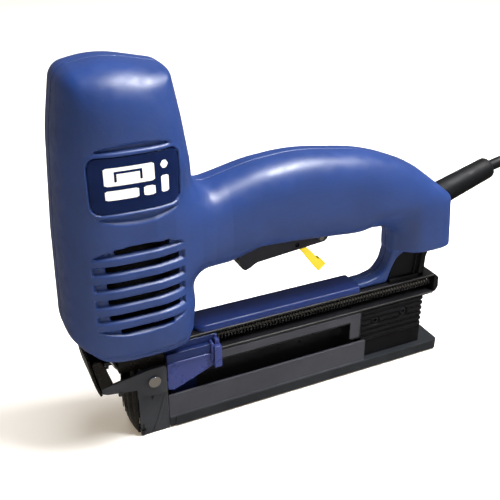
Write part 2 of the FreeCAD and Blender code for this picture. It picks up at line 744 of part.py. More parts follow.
RIB_COUNT = 5
RIB_PROUD = 0.9
RIB_HEIGHT = 2.4
BLOCK_HALF = 9.5
block_parts = [
    block(
        "grip_core",
        (behind(cell("block_front")), behind(cell("block_rear") - RIB_PROUD)),
        (-BLOCK_HALF, BLOCK_HALF),
        (cell("block_bottom"), cell("block_top")),
    )
]
for k in range(RIB_COUNT):
    low = cell("block_bottom") + 1.2 + 4.4 * k
    block_parts.append(
        block(
            f"grip_rib_{k}",
            (behind(cell("block_front")), behind(cell("block_rear"))),
            (-BLOCK_HALF - RIB_PROUD, BLOCK_HALF + RIB_PROUD),
            (low, low + RIB_HEIGHT),
        )
    )
BOLTS = ((159.6, 34.4), (180.8, 35.6))
BOLT_HEAD = 2.8
BOLT_SHAFT = 1.6
BOLT_SEAT = 8.6
bolt_parts = []
for k, (back, height) in enumerate(BOLTS):
    centre = (behind(back), height)
    bolt_parts.append(rod(f"bolt_shaft_{k}", "Y", centre, (-BOLT_SEAT, BOLT_SEAT), BOLT_SHAFT))
    for side, sign in (("near", -1), ("far", 1)):
        span = sorted((sign * BOLT_SEAT, sign * (BLOCK_HALF + RIB_PROUD)))
        bolt_parts.append(rod(f"bolt_head_{side}_{k}", "Y", centre, span, BOLT_HEAD))
nodes["grip_screws"] = fuse("grip_screws", *bolt_parts)
nodes["grip_block"] = cut("grip_block", fuse("grip_solid", *block_parts), nodes["grip_screws"])

# ---------------------------------------------------------------- pusher
SADDLE_REAR = 40.0
SKIRT = ((24.5, 50.8), (24.5, 25.2), (34.5, 28.6), (48.8, 33.6), (48.8, 50.8))
skirt_body = padded("pusher_skirt", "side", (-12.4, -10.9), [(behind(x), z) for x, z in SKIRT])
pusher_span = (behind(PUSHER_FRONT), behind(PUSHER_REAR))
pusher_solid = fuse(
    "pusher_solid",
    block("pusher_carriage", pusher_span, (-9.6, 7.4), (SHELF_TOP + 0.4, cell("rail_top") - THICK - 0.5)),
    block("pusher_bridge", (behind(PUSHER_FRONT), behind(48.8)), (-12.4, -9.4), (SHELF_TOP + 0.4, 50.8)),
    skirt_body,
    block("pusher_knob", (behind(47.6), behind(52.2)), (-15.4, -12.0), (35.0, 50.4)),
    block("pusher_knob_root", (behind(47.6), behind(PUSHER_REAR)), (-12.6, -9.4), (SHELF_TOP + 0.4, 52.4)),
    block("pusher_neck", (behind(PUSHER_FRONT), behind(SADDLE_REAR)), (-2.7, 2.7), (35.0, SHELF_TOP + 1)),
    block("pusher_saddle", (behind(PUSHER_FRONT), behind(SADDLE_REAR)), (-4.4, 4.4), (12.0, 36.5)),
)
nodes["pusher"] = cut(
    "pusher",
    pusher_solid,
    block(
        "saddle_slot",
        (behind(PUSHER_FRONT - 1), behind(SADDLE_REAR + 1)),
        (-HALF_CORE - 0.4, HALF_CORE + 0.4),
        (11.0, cell("core_top") + 0.5),
    ),
    rod("pusher_rod_hole", "X", (ROD_Y, ROD_Z), (behind(20.0), behind(60.0)), ROD_R + 0.1),
)

# ---------------------------------------------------------------- trigger and safety lever
HALF_TRIGGER_BODY = cell("trigger_width") / 2
TRIGGER = (
    (66.9, 96.6, 1.0), (69.0, 91.0), (70.8, 89.7, 1.0),
    (73.4, 90.5), (77.4, 92.6), (98.6, 94.9), (121.4, 97.3, 1.0),
    (123.4, 99.0, 1.0), (123.3, 104.0, 1.0), (100.0, 107.6), (76.0, 106.6), (69.0, 102.0),
)
trigger_centre = (behind(cell("trigger_back")), cell("trigger_up"))
safety_centre = (behind(cell("safety_back")), cell("safety_up"))
SLOT_WIDE = 4.8
trigger_body = padded(
    "trigger_body", "side", (-HALF_TRIGGER_BODY, HALF_TRIGGER_BODY), [(behind(c[0]), *c[1:]) for c in TRIGGER]
)
nodes["trigger"] = cut(
    "trigger",
    trigger_body,
    block("safety_slot", (behind(98.0), behind(125.0)), (-SLOT_WIDE / 2, SLOT_WIDE / 2), (88.0, 104.4)),
    rod("trigger_bore", "Y", trigger_centre, (-8.0, 8.0), cell("pin_radius") + 0.05),
    rod("safety_pin_bore", "Y", safety_centre, (-8.0, 8.0), 1.0),
)
nodes["trigger_pin"] = rod("trigger_pin", "Y", trigger_centre, (-9.0, 9.0), cell("pin_radius"))
nodes["safety_pin"] = rod("safety_pin", "Y", safety_centre, (-6.4, 6.4), 1.0)
SAFETY = (
    (100.9, 98.4, 1.0), (101.8, 101.0, 1.0), (105.0, 101.2, 1.0),
    (107.6, 98.2), (110.3, 94.6), (112.7, 91.6),
    (116.6, 89.2, 1.0), (124.2, 81.2, 1.0), (120.2, 77.1, 1.0), (115.2, 81.0), (108.9, 88.4), (104.6, 95.2),
    (102.0, 96.0),
)
safety_body = padded("safety_body", "side", (-2.0, 2.0), [(behind(c[0]), *c[1:]) for c in SAFETY])
nodes["safety_lever"] = cut(
    "safety_lever", safety_body, rod("safety_bore", "Y", safety_centre, (-3.0, 3.0), 1.05)
)
SPRING_SEAT = 118.0
nodes["trigger_spring"] = coil_spring(
    "trigger_spring", (behind(78.0), 0, 107.6), FreeCAD.Rotation(), 2.2, 0.35, 10.0, 1.6
)
nodes["trigger_switch"] = fuse(
    "trigger_switch",
    block("switch_case", (behind(86.0), behind(106.0)), (-5.2, 5.2), (113.4, 124.4)),
    block("switch_button", (behind(90.0), behind(93.0)), (-1.5, 1.5), (112.2, 113.6)),
    *[
        block(f"switch_tab_{k}", (behind(x), behind(x + 1)), (-2.4, 2.4), (124.2, 128.4))
        for k, x in enumerate((88.0, 95.5, 103.0))
    ],
)

# ---------------------------------------------------------------- solenoid and driver
BORE = cell("plunger_radius") + cell("bore_play")
axis_xy = (AXIS_X, 0.0)
COIL_LOW, COIL_HIGH = cell("coil_bottom"), cell("coil_top")
FLANGE = 2.0
YOKE = 6.0
TUBE = 1.9
nodes["coil_bobbin"] = cut(
    "coil_bobbin",
    fuse(
        "bobbin_solid",
        rod("bobbin_tube", "Z", axis_xy, (COIL_LOW, COIL_HIGH), BORE + TUBE),
        rod("bobbin_low", "Z", axis_xy, (COIL_LOW, COIL_LOW + FLANGE), cell("coil_radius")),
        rod("bobbin_high", "Z", axis_xy, (COIL_HIGH - FLANGE, COIL_HIGH), cell("coil_radius")),
    ),
    rod("bobbin_bore", "Z", axis_xy, (COIL_LOW - 1, COIL_HIGH + 1), BORE),
)
nodes["coil_winding"] = cut(
    "coil_winding",
    rod(
        "winding_outside", "Z", axis_xy, (COIL_LOW + FLANGE, COIL_HIGH - FLANGE), cell("coil_radius") - 0.5,
    ),
    rod("winding_inside", "Z", axis_xy, (COIL_LOW, COIL_HIGH), BORE + TUBE),
)
yoke_x = (AXIS_X - 26.0, AXIS_X + 26.0)
nodes["solenoid_frame"] = cut(
    "solenoid_frame",
    block("yoke_outside", yoke_x, (-15.0, 15.0), (COIL_LOW - YOKE, COIL_HIGH + YOKE)),
    block("yoke_inside", (yoke_x[0] + 5.0, yoke_x[1] - 5.0), (-16.0, 16.0), (COIL_LOW, COIL_HIGH)),
    rod("yoke_bore", "Z", axis_xy, (COIL_LOW - 10, COIL_HIGH + 10), BORE),
)
PLUNGER_LOW = cell("plunger_bottom")
PLUNGER_TOP = PLUNGER_LOW + cell("plunger_length")
BLADE_GRIP = 10.0
HALF_THICK = cell("blade_thick") / 2
PIN_R = 1.2
blade_pin_span = (AXIS_X - 7.0, AXIS_X + 7.0)
nodes["plunger"] = cut(
    "plunger",
    rod("plunger_solid", "Z", axis_xy, (PLUNGER_LOW, PLUNGER_TOP), cell("plunger_radius")),
    block(
        "blade_grip", (AXIS_X - HALF_THICK, AXIS_X + HALF_THICK),
        (-HALF_BLADE, HALF_BLADE), (PLUNGER_LOW - 1, PLUNGER_LOW + BLADE_GRIP),
    ),
    rod("plunger_cross_hole", "X", (0.0, PLUNGER_LOW + 5), (AXIS_X - 10, AXIS_X + 10), PIN_R),
)
nodes["driver_blade"] = cut(
    "driver_blade",
    block(
        "blade_solid",
        (AXIS_X - HALF_THICK, AXIS_X + HALF_THICK),
        (-HALF_BLADE, HALF_BLADE),
        (cell("blade_tip"), PLUNGER_LOW + BLADE_GRIP),
    ),
    rod("blade_hole", "X", (0.0, PLUNGER_LOW + 5), (AXIS_X - 5, AXIS_X + 5), PIN_R),
)
nodes["blade_pin"] = rod("blade_pin", "X", (0.0, PLUNGER_LOW + 5), blade_pin_span, PIN_R)
BUMPER_LOW, BUMPER_TOP = 66.0, 80.0
nodes["bumper"] = cut(
    "bumper",
    block("bumper_solid", (AXIS_X - 11.0, AXIS_X + 11.0), (-11.0, 11.0), (BUMPER_LOW, BUMPER_TOP)),
    block(
        "bumper_slot",
        (AXIS_X - HALF_THICK - 0.5, AXIS_X + HALF_THICK + 0.5),
        (-HALF_BLADE - 0.6, HALF_BLADE + 0.6),
        (BUMPER_LOW - 1, BUMPER_TOP + 1),
    ),
)
RETURN_WIRE = 0.65
nodes["return_spring"] = coil_spring(
    "return_spring",
    (AXIS_X, 0, BUMPER_TOP + RETURN_WIRE + 0.1),
    FreeCAD.Rotation(),
    6.6,
    RETURN_WIRE,
    PLUNGER_LOW - BUMPER_TOP - 2 * RETURN_WIRE - 0.2,
    4.5,
)
nodes["top_buffer"] = rod("top_buffer", "Z", axis_xy, (PLUNGER_TOP + 0.4, PLUNGER_TOP + 5.4), 11.0)
BOARD = (188.6, 190.2)
nodes["circuit_board"] = fuse(
    "circuit_board",
    block("board_plate", (behind(-15.0), behind(23.0)), (-16.0, 16.0), BOARD),
    block("board_triac", (behind(10.0), behind(15.0)), (-5.0, 5.0), (BOARD[1], BOARD[1] + 9)),
    rod("board_capacitor", "Z", (behind(-6.0), 7.0), (BOARD[1], BOARD[1] + 8), 4.0),
    block("board_resistor", (behind(-10.0), behind(2.0)), (-10.0, -6.0), (BOARD[1], BOARD[1] + 4)),
)

# ---------------------------------------------------------------- wiring inside the handle
nodes["terminal_block"] = cut(
    "terminal_block",
    block("terminal_solid", (behind(164.0), behind(182.0)), (-7.0, 7.0), (106.0, 116.0)),
    *[rod(f"terminal_way_{k}", "X", (y, 111.0), (behind(163.0), behind(183.0)), 1.6) for k, y in enumerate((-3.5, 3.5))],
)


def tube_along(points, radius, spread=0.45):
    """A round tube on straight runs joined by tangent arcs. Returns the solid and its radii and length."""
    runs = [b - a for a, b in zip(points, points[1:])]
    edges, radii, start = [], [], points[0]
    for i in range(1, len(points) - 1):
        before, after = runs[i - 1], runs[i]
        reach = spread * min(before.Length, after.Length)
        turn = before.getAngle(after)
        corner = points[i]
        one = corner - before.normalize() * reach
        two = corner + after.normalize() * reach
        runs[i - 1], runs[i] = points[i] - points[i - 1], points[i + 1] - points[i]
        bend = reach / math.tan(turn / 2)
        inward = (one + two) * 0.5 - corner
        depth = bend / math.cos(turn / 2) - bend
        middle = corner + inward.normalize() * depth
        edges += [Part.LineSegment(start, one).toShape(), Part.Arc(one, middle, two).toShape()]
        radii.append(bend)
        start = two
    edges.append(Part.LineSegment(start, points[-1]).toShape())
    path = Part.Wire(edges)
    section = Part.Wire(Part.Circle(points[0], points[1] - points[0], radius).toShape())
    return path.makePipeShell([section], True, False), radii, path.Length


def lead(points):
    return tube_along([V(number(behind(x)), y, z) for x, y, z in points], 1.1)[0]


LEADS = (
    (
        (164.0, -3.5, 111.0), (148.0, -4.5, 112.5), (131.0, -3.5, 115.5),
        (116.0, -1.0, 117.6), (106.3, 0.0, 118.0),
    ),
    (
        (164.0, 3.5, 111.0), (149.0, 5.0, 113.0), (131.0, 7.5, 116.0),
        (114.0, 9.5, 122.5), (98.0, 9.5, 130.0),
        (81.0, 8.0, 136.5), (64.0, 8.0, 140.0), (48.0, 8.0, 140.8), (37.0, 8.0, 146.5), (33.0, 8.0, 157.0),
        (31.5, 8.0, 167.0), (19.5, 8.0, 171.5), (18.0, 8.0, 188.5),
    ),
)
nodes["internal_leads"] = own_shape("internal_leads", Part.makeCompound([lead(points) for points in LEADS]))

# ---------------------------------------------------------------- strain relief, cord, hank and plug
relief_turn = FreeCAD.Rotation(V(0, 0, 1), relief_way)
relief_place = (behind(cell("relief_back")), 0, cell("relief_up"))
nodes["strain_relief"] = cone(
    "strain_relief", relief_place, relief_turn, cell("relief_length"), cell("relief_root"), cell("relief_tip")
)
CORD_R = number(cell("cord_diameter")) / 2
relief_tip = relief_foot + relief_way * number(cell("relief_length"))
# Where the cord runs after the strain relief, chosen by hand: places behind the nose, Y and height.
CORD_ROUTE = (
    (256.0, 0.0, 124.2),
    (277.0, -0.5, 126.3),
    (302.0, -2.0, 119.5),
    (321.0, -6.5, 99.0),
    (326.7, -14.2, 72.1),
    (332.6, -26.2, 44.1),
    (343.5, -38.3, 23.2),
    (366.4, -40.9, 7.9),
    (388.0, -39.2, 3.5),
)
route = [relief_tip] + [V(number(behind(x)), y, z) for x, y, z in CORD_ROUTE]
cord_solid, cord_radii, cord_length = tube_along(route, CORD_R)
nodes["mains_cord"] = own_shape("mains_cord", cord_solid)
print("cord radii", [round(r, 1) for r in cord_radii])
print(
    "cord length", round(cord_length, 1), "volume share",
    cord_solid.Volume / (math.pi * CORD_R**2 * cord_length),
)
print("cord runs", [round((b - a).Length, 1) for a, b in zip(route, route[1:])])


def stadium(name, half, height):
    """A flat slab with round ends, on the ground where the hank lies."""
    left, right = behind(cell("hank_left")), behind(cell("hank_left") + cell("hank_run"))
    middle = cell("hank_offset")
    return fuse(
        name,
        rod(name + "_left", "Z", (left, middle), height, half),
        rod(name + "_right", "Z", (right, middle), height, half),
        block(name + "_run", (left, right), (middle - half, middle + half), height),
    )


nodes["cord_coil"] = cut(
    "cord_coil",
    stadium("hank_outside", cell("hank_radius"), (0.0, cell("hank_height"))),
    stadium("hank_inside", cell("hank_hole"), (-1.0, cell("hank_height") + 1)),
)
# The tie is a strap round the hank's waist, raised on the near side over the cord's last turn.
TIE_BACK, TIE_WIDE, TIE_THICK = 366.0, 10.0, 0.8
tie_span = (behind(TIE_BACK), behind(TIE_BACK + TIE_WIDE))
tie_near = cell("hank_offset") - cell("hank_radius") - 1.6
tie_far = cell("hank_offset") + cell("hank_radius") + 0.6


def tie_outline(inset):
    low, high, peak = inset, 15.2 - inset, 22.2 - inset
    near, far = tie_near + inset, tie_far - inset
    return [(near, low), (far, low), (far, high), (-14.0, high), (-26.0, peak), (-34.0, peak), (near, high)]


nodes["cord_tie"] = cut(
    "cord_tie",
    padded("tie_outside", "end", tie_span, tie_outline(0.0)),
    padded("tie_inside", "end", (tie_span[0] - 1, tie_span[1] + 1), tie_outline(TIE_THICK)),
)
PLUG_Y, PLUG_Z = 12.0, 21.25
PLUG_TAIL, PLUG_BODY, PLUG_FACE, PIN_END = 436.0, 414.0, 380.0, 361.0
plug_body = padded(
    "plug_body",
    "plan",
    (PLUG_Z - 7.0, PLUG_Z + 7.0),
    [
        (behind(PLUG_FACE), PLUG_Y - 9.0, 2.0), (behind(PLUG_FACE), PLUG_Y + 9.0, 2.0),
        (behind(PLUG_FACE + 14), PLUG_Y + 13.0, 3.0), (behind(PLUG_BODY), PLUG_Y + 8.0, 3.0),
        (behind(PLUG_BODY), PLUG_Y - 8.0, 3.0), (behind(PLUG_FACE + 14), PLUG_Y - 13.0, 3.0),
    ],
)
nodes["mains_plug"] = fuse(
    "mains_plug",
    plug_body,
    cone(
        "plug_relief", (behind(PLUG_BODY - 1), PLUG_Y, PLUG_Z),
        TURN_TO["X"], PLUG_TAIL - PLUG_BODY + 1, 6.0, 4.4,
    ),
    *[
        rod(f"plug_pin_{k}", "X", (PLUG_Y + y, PLUG_Z), (behind(PIN_END), behind(PLUG_FACE + 1)), 2.0)
        for k, y in enumerate((-9.5 + 0.9, 9.5 - 0.9))
    ],
)

# ---------------------------------------------------------------- check and write
doc.recompute()
failed = [t.Name for t in doc.Objects if {"Invalid", "Error"} & set(t.State)]
if failed:
    raise RuntimeError(f"these did not compute: {failed}")
os.makedirs("parts", exist_ok=True)
for name, thing in nodes.items():
    thing.Label = name
    shape = thing.Shape
    if shape.isNull() or not shape.isValid() or not shape.Solids:
        raise RuntimeError(f"{name} has no valid solid")
    shape.exportStep(f"parts/{name}.step")
    print(f"{name:18s} solids {len(shape.Solids)} volume {shape.Volume:10.1f}")
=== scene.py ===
import math
from itertools import product

import bmesh
import bpy
import numpy as np
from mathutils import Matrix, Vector


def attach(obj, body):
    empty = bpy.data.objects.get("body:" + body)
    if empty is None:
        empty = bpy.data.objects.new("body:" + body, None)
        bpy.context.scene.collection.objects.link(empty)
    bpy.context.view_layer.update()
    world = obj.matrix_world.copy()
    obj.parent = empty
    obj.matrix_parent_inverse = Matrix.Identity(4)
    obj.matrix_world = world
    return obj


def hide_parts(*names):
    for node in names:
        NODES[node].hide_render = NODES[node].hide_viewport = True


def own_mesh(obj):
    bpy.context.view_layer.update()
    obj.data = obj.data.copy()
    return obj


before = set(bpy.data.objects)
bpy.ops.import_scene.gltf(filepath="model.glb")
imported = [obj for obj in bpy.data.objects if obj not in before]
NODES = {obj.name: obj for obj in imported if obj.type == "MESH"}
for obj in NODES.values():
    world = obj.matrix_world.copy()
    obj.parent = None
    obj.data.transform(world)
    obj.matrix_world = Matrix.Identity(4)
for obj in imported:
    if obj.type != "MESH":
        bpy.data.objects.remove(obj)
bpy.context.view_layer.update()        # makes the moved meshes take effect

# Places are written in millimetres: distance behind the nose plane, Y, and height.
MM = 0.001
NOSE_PLANE = -0.090


def at(back, y, height):
    return Vector((NOSE_PLANE + back * MM, y * MM, height * MM))


# ---------------------------------------------------------------- camera, light and floor
def aim(thing, place, target):
    thing.location = place
    thing.rotation_mode = "QUATERNION"
    thing.rotation_quaternion = (Vector(target) - Vector(place)).to_track_quat("-Z", "Y")


def camera():
    data = bpy.data.cameras.new("Camera")
    data.lens, data.sensor_width = 53.28, 36.0
    data.clip_start, data.clip_end = 0.01, 20.0
    thing = bpy.data.objects.new("Camera", data)
    bpy.context.scene.collection.objects.link(thing)
    place = at(-79.83, -334.30, 290.40)
    azimuth, elevation = math.radians(-25.1), math.radians(27.5)
    back = Vector((
        math.sin(azimuth) * math.cos(elevation),
        -math.cos(azimuth) * math.cos(elevation),
        math.sin(elevation),
    ))
    aim(thing, place, place - back)
    bpy.context.scene.camera = thing


def softbox(name, direction, distance, size, power, mirrored=False):
    data = bpy.data.lights.new(name, "AREA")
    data.shape, data.size, data.size_y = "RECTANGLE", size[0], size[1]
    data.energy = power
    thing = bpy.data.objects.new(name, data)
    bpy.context.scene.collection.objects.link(thing)
    thing.visible_glossy = mirrored
    target = Vector((0.0, 0.0, 0.10))
    aim(thing, target + Vector(direction).normalized() * distance, target)


def studio():
    world = bpy.data.worlds.new("Studio")
    world.use_nodes = True
    sky = world.node_tree.nodes["Background"]
    sky.inputs["Color"].default_value = (1.0, 0.90, 0.76, 1.0)
    sky.inputs["Strength"].default_value = 0.20
    bpy.context.scene.world = world
    bpy.context.scene.view_settings.view_transform = "Standard"
    softbox("Overhead", (0.38, -0.22, 0.90), 1.10, (0.46, 0.32), 30.0, mirrored=True)
    softbox("RightFill", (0.75, -0.62, 0.28), 1.30, (0.60, 0.70), 4.0)
    softbox("BackRim", (0.1, 1.0, 0.75), 1.40, (1.0, 0.5), 4.0)
    data = bpy.data.lights.new("Sky", "SUN")
    data.energy, data.angle = 1.7, math.radians(35.0)
    thing = bpy.data.objects.new("Sky", data)
    bpy.context.scene.collection.objects.link(thing)
    thing.visible_glossy = False
    aim(thing, Vector((0.3, -0.1, 2.0)), Vector((0.0, 0.0, 0.0)))


# ---------------------------------------------------------------- finishes
SHADERS = {}


def noise(tree, coords, scale, detail=3.0, rough=0.55, stretch=None):
    """A noise node that reads the piece's own coordinates, in metres."""
    made = tree.nodes.new("ShaderNodeTexNoise")
    made.inputs["Scale"].default_value = scale
    made.inputs["Detail"].default_value = detail
    made.inputs["Roughness"].default_value = rough
    source = coords
    if stretch:
        mapping = tree.nodes.new("ShaderNodeMapping")
        mapping.inputs["Scale"].default_value = stretch
        tree.links.new(coords, mapping.inputs["Vector"])
        source = mapping.outputs["Vector"]
    tree.links.new(source, made.inputs["Vector"])
    return made.outputs["Fac"]


def ramp(tree, value, stops):
    made = tree.nodes.new("ShaderNodeValToRGB")
    band = made.color_ramp
    while len(band.elements) < len(stops):
        band.elements.new(0.5)
    for element, (position, colour) in zip(band.elements, stops):
        element.position = position
        element.color = (*colour, 1.0)
    tree.links.new(value, made.inputs["Fac"])
    return made.outputs["Color"]


def remap(tree, value, low, high, start=0.3, end=0.7):
    made = tree.nodes.new("ShaderNodeMapRange")
    made.inputs["From Min"].default_value = start
    made.inputs["From Max"].default_value = end
    made.inputs["To Min"].default_value = low
    made.inputs["To Max"].default_value = high
    tree.links.new(value, made.inputs["Value"])
    return made.outputs["Result"]


def finish(name, colour, rough, metal=0.0, tint=0.15, gloss_spread=0.08, grain=(900.0, 0.2), stretch=None,
           coat=0.0, specks=0.0, depth=0.0002, shine=0.3):
    """A finish with cloudy colour, patchy gloss, a fine grain and, where asked, small light specks."""
    made = bpy.data.materials.new(name)
    made.use_nodes = True
    tree = made.node_tree
    shader = tree.nodes["Principled BSDF"]
    coords = tree.nodes.new("ShaderNodeTexCoord").outputs["Object"]
    darker = tuple(c * (1 - tint) for c in colour)
    lighter = tuple(min(1.0, c * (1 + tint)) for c in colour)
    clouds = noise(tree, coords, 45.0, 4.0, stretch=stretch)
    shade = ramp(tree, clouds, ((0.30, darker), (0.70, lighter)))
    if specks:
        dots = ramp(tree, noise(tree, coords, 1500.0, 1.0), ((0.62, (0, 0, 0)), (0.78, (specks,) * 3)))
        add = tree.nodes.new("ShaderNodeMix")
        add.data_type, add.blend_type = "RGBA", "ADD"
        add.inputs["Factor"].default_value = 1.0
        tree.links.new(shade, add.inputs["A"])
        tree.links.new(dots, add.inputs["B"])
        shade = add.outputs["Result"]
    tree.links.new(shade, shader.inputs["Base Color"])
    patches = noise(tree, coords, 160.0, 4.0, stretch=stretch)
    tree.links.new(remap(tree, patches, rough - gloss_spread, rough + gloss_spread),
                   shader.inputs["Roughness"])
    bump = tree.nodes.new("ShaderNodeBump")
    bump.inputs["Strength"].default_value = grain[1]
    bump.inputs["Distance"].default_value = depth
    tree.links.new(noise(tree, coords, grain[0], 2.0, stretch=stretch), bump.inputs["Height"])
    tree.links.new(bump.outputs["Normal"], shader.inputs["Normal"])
    shader.inputs["Metallic"].default_value = metal
    shader.inputs["Specular IOR Level"].default_value = shine
    shader.inputs["Coat Weight"].default_value = coat
    shader.inputs["Coat Roughness"].default_value = 0.12
    made.diffuse_color = (*colour, 1.0)
    SHADERS[name] = made
    return made


ALONG = (0.08, 1.0, 1.0)  # drawn out along X, for brushed and drawn metal


def make_finishes():
    finish("blue_plastic", (0.009, 0.030, 0.130), 0.42, tint=0.10, grain=(2600.0, 0.35), specks=0.012,
           depth=0.00008, shine=0.5)
    # Painted shade: a darker copy of blue_plastic for the rail cover, which lies in shade under the handle.
    finish("painted_shade_cover_blue", (0.008, 0.020, 0.100), 0.36, tint=0.12, grain=(2600.0, 0.25), shine=0.25)
    # Painted shade: a darker copy of pusher_blue for the carriage, which sits in the head's shadow.
    finish("painted_shade_blue", (0.008, 0.016, 0.070), 0.32, tint=0.15, grain=(500.0, 0.1), shine=0.25)
    finish("pusher_blue", (0.024, 0.034, 0.130), 0.30, tint=0.12, grain=(500.0, 0.10), shine=0.35)
    finish("badge", (0.002, 0.008, 0.042), 0.14, tint=0.25, gloss_spread=0.04, grain=(300.0, 0.03),
           shine=0.30)
    finish("badge_print", (0.80, 0.78, 0.74), 0.40, tint=0.04, grain=(900.0, 0.05), shine=0.1)
    finish("dark_steel", (0.010, 0.010, 0.012), 0.34, tint=0.30, grain=(700.0, 0.25), specks=0.004,
           shine=0.22)
    finish("ear_steel", (0.026, 0.028, 0.033), 0.42, tint=0.20, grain=(900.0, 0.35), specks=0.008,
           shine=0.22)
    finish("black_steel", (0.007, 0.006, 0.005), 0.25, tint=0.3, grain=(500.0, 0.2), shine=0.25)
    finish("plate_grey", (0.034, 0.035, 0.043), 0.40, tint=0.12, grain=(1100.0, 0.35), specks=0.008,
           shine=0.2)
    finish("foot_grey", (0.013, 0.015, 0.018), 0.46, tint=0.18, grain=(1000.0, 0.4), shine=0.2)
    finish("black_plastic", (0.005, 0.005, 0.006), 0.40, tint=0.25, grain=(900.0, 0.35), shine=0.13)
    finish("trigger_grey", (0.014, 0.014, 0.019), 0.42, tint=0.18, grain=(1100.0, 0.4), shine=0.2)
    finish("yellow_plastic", (0.80, 0.60, 0.012), 0.35, tint=0.08, grain=(700.0, 0.2), shine=0.3)
    finish("cord_rubber", (0.003, 0.0035, 0.0045), 0.55, tint=0.25, grain=(1400.0, 0.5), shine=0.18)
    finish("tie_grey", (0.05, 0.05, 0.055), 0.7, tint=0.2, grain=(2200.0, 0.8), shine=0.2)
    finish("black_rubber", (0.008, 0.008, 0.008), 0.7, tint=0.2, grain=(1200.0, 0.5), shine=0.15)
    # Painted shade: the coil winding is painted near black for the dark inside of the housing seen through
    # the vents.
    finish("painted_shade_coil", (0.006, 0.006, 0.007), 0.5, tint=0.2, grain=(400.0, 0.4), stretch=(0.1, 0.1, 1.0),
           shine=0.1)
    finish("chrome_steel", (0.80, 0.80, 0.80), 0.08, 1.0, 0.05, 0.03, grain=(400.0, 0.05))
    finish("zinc_steel", (0.55, 0.55, 0.53), 0.30, 1.0, 0.12, 0.08, grain=(900.0, 0.2), stretch=ALONG)
    finish("bright_spring", (0.86, 0.82, 0.74), 0.24, 0.6, 0.08, 0.06, grain=(700.0, 0.15), stretch=ALONG)
    # Partly worn bare edge, partly painted glint: lighter strips for the light caught along the rail's sheet
    # edges.
    finish("edge_wear_and_glint", (0.085, 0.085, 0.080), 0.32, 0.5, 0.25, 0.1, grain=(900.0, 0.2), stretch=ALONG)
    finish("spring_steel", (0.055, 0.055, 0.055), 0.35, 0.6, 0.2, 0.08, grain=(900.0, 0.2))
    finish("laminated_steel", (0.06, 0.06, 0.065), 0.50, 0.6, 0.2, 0.1, grain=(900.0, 0.4),
           stretch=(1.0, 6.0, 1.0))
    finish("blade_steel", (0.45, 0.45, 0.45), 0.25, 1.0, 0.15, 0.08, grain=(900.0, 0.3),
           stretch=(1.0, 1.0, 0.1))
    finish("bobbin_plastic", (0.55, 0.52, 0.44), 0.45, tint=0.1, grain=(800.0, 0.2))
    finish("board_green", (0.03, 0.12, 0.05), 0.4, tint=0.2, grain=(1200.0, 0.3))
    floor = finish("pale_floor", (0.90, 0.90, 0.90), 0.55, tint=0.01, gloss_spread=0.03,
                   grain=(120.0, 0.02))
    glow = floor.node_tree.nodes["Principled BSDF"]
    glow.inputs["Emission Color"].default_value = (1.0, 0.82, 0.58, 1.0)
    glow.inputs["Emission Strength"].default_value = 0.22


# ---------------------------------------------------------------- mesh helpers
def mesh_piece(name, points, faces):
    data = bpy.data.meshes.new(name)
    data.from_pydata([tuple(p) for p in points], [], [tuple(int(i) for i in f) for f in faces])
    data.validate()
    thing = bpy.data.objects.new(name, data)
    bpy.context.scene.collection.objects.link(thing)
    return thing


def face_outwards(thing):
    work = bmesh.new()
    work.from_mesh(thing.data)
    bmesh.ops.recalc_face_normals(work, faces=work.faces)
    work.to_mesh(thing.data)
    work.free()


def rounded(corners, steps=5):
    """Points of a closed outline whose corners (u, v, radius) become tangent arcs."""
    points = []
    for i, corner in enumerate(corners):
        here = Vector(corner[:2])
        one = Vector(corners[i - 1][:2]) - here
        two = Vector(corners[(i + 1) % len(corners)][:2]) - here
        if len(corner) < 3:
            points.append(here)
            continue
        half = one.angle(two) / 2
        reach = min(corner[2] / math.tan(half), 0.49 * one.length, 0.49 * two.length)
        centre = here + (one.normalized() + two.normalized()).normalized() * (reach / math.cos(half))
        start, end = here + one.normalized() * reach - centre, here + two.normalized() * reach - centre
        arc = [start.slerp(end, k / steps).normalized() for k in range(steps + 1)]
        points += [centre + direction * start.length for direction in arc]
    return points


VIEWS = {
    "side": lambda u, v, w: at(u, w, v),
    "plan": lambda u, v, w: at(u, v, w),
    "end": lambda u, v, w: at(w, u, v),
}


def prism(name, corners, low, high, view="side", steps=5):
    """A solid drawn in the side, plan or end view, from low to high across it."""
    outline = rounded(corners, steps)
    n = len(outline)
    points = [VIEWS[view](p[0], p[1], w) for w in (low, high) for p in outline]
    faces = [range(n), range(n, 2 * n)] + [(i, (i + 1) % n, n + (i + 1) % n, n + i) for i in range(n)]
    thing = mesh_piece(name, points, faces)
    face_outwards(thing)
    return thing


def rect(x, z, top=None, foot=None):
    """Corners of a rectangle, with a radius for its upper and its lower corners where given."""
    corners = ((x[0], z[0], foot), (x[1], z[0], foot), (x[1], z[1], top), (x[0], z[1], top))
    return [c if c[2] else c[:2] for c in corners]


def block(name, x, y, z):
    return prism(name, rect(x, y), z[0], z[1], "plan")


def sided(side, inner, outer):
    """The low and high Y of a plate on one side of the middle plane."""
    return sorted((side * inner, side * outer))


def loft(name, rings, closed=False):
    """Quads through rings of points; the two ends are closed unless the rings form a loop."""
    n = len(rings[0])
    points = [p for ring in rings for p in ring]
    faces = []
    for r in range(len(rings) if closed else len(rings) - 1):
        a, b = r * n, ((r + 1) % len(rings)) * n
        faces += [(a + i, a + (i + 1) % n, b + (i + 1) % n, b + i) for i in range(n)]
    if not closed:
        faces += [range(n), range(len(points) - n, len(points))]
    thing = mesh_piece(name, points, faces)
    face_outwards(thing)
    return thing


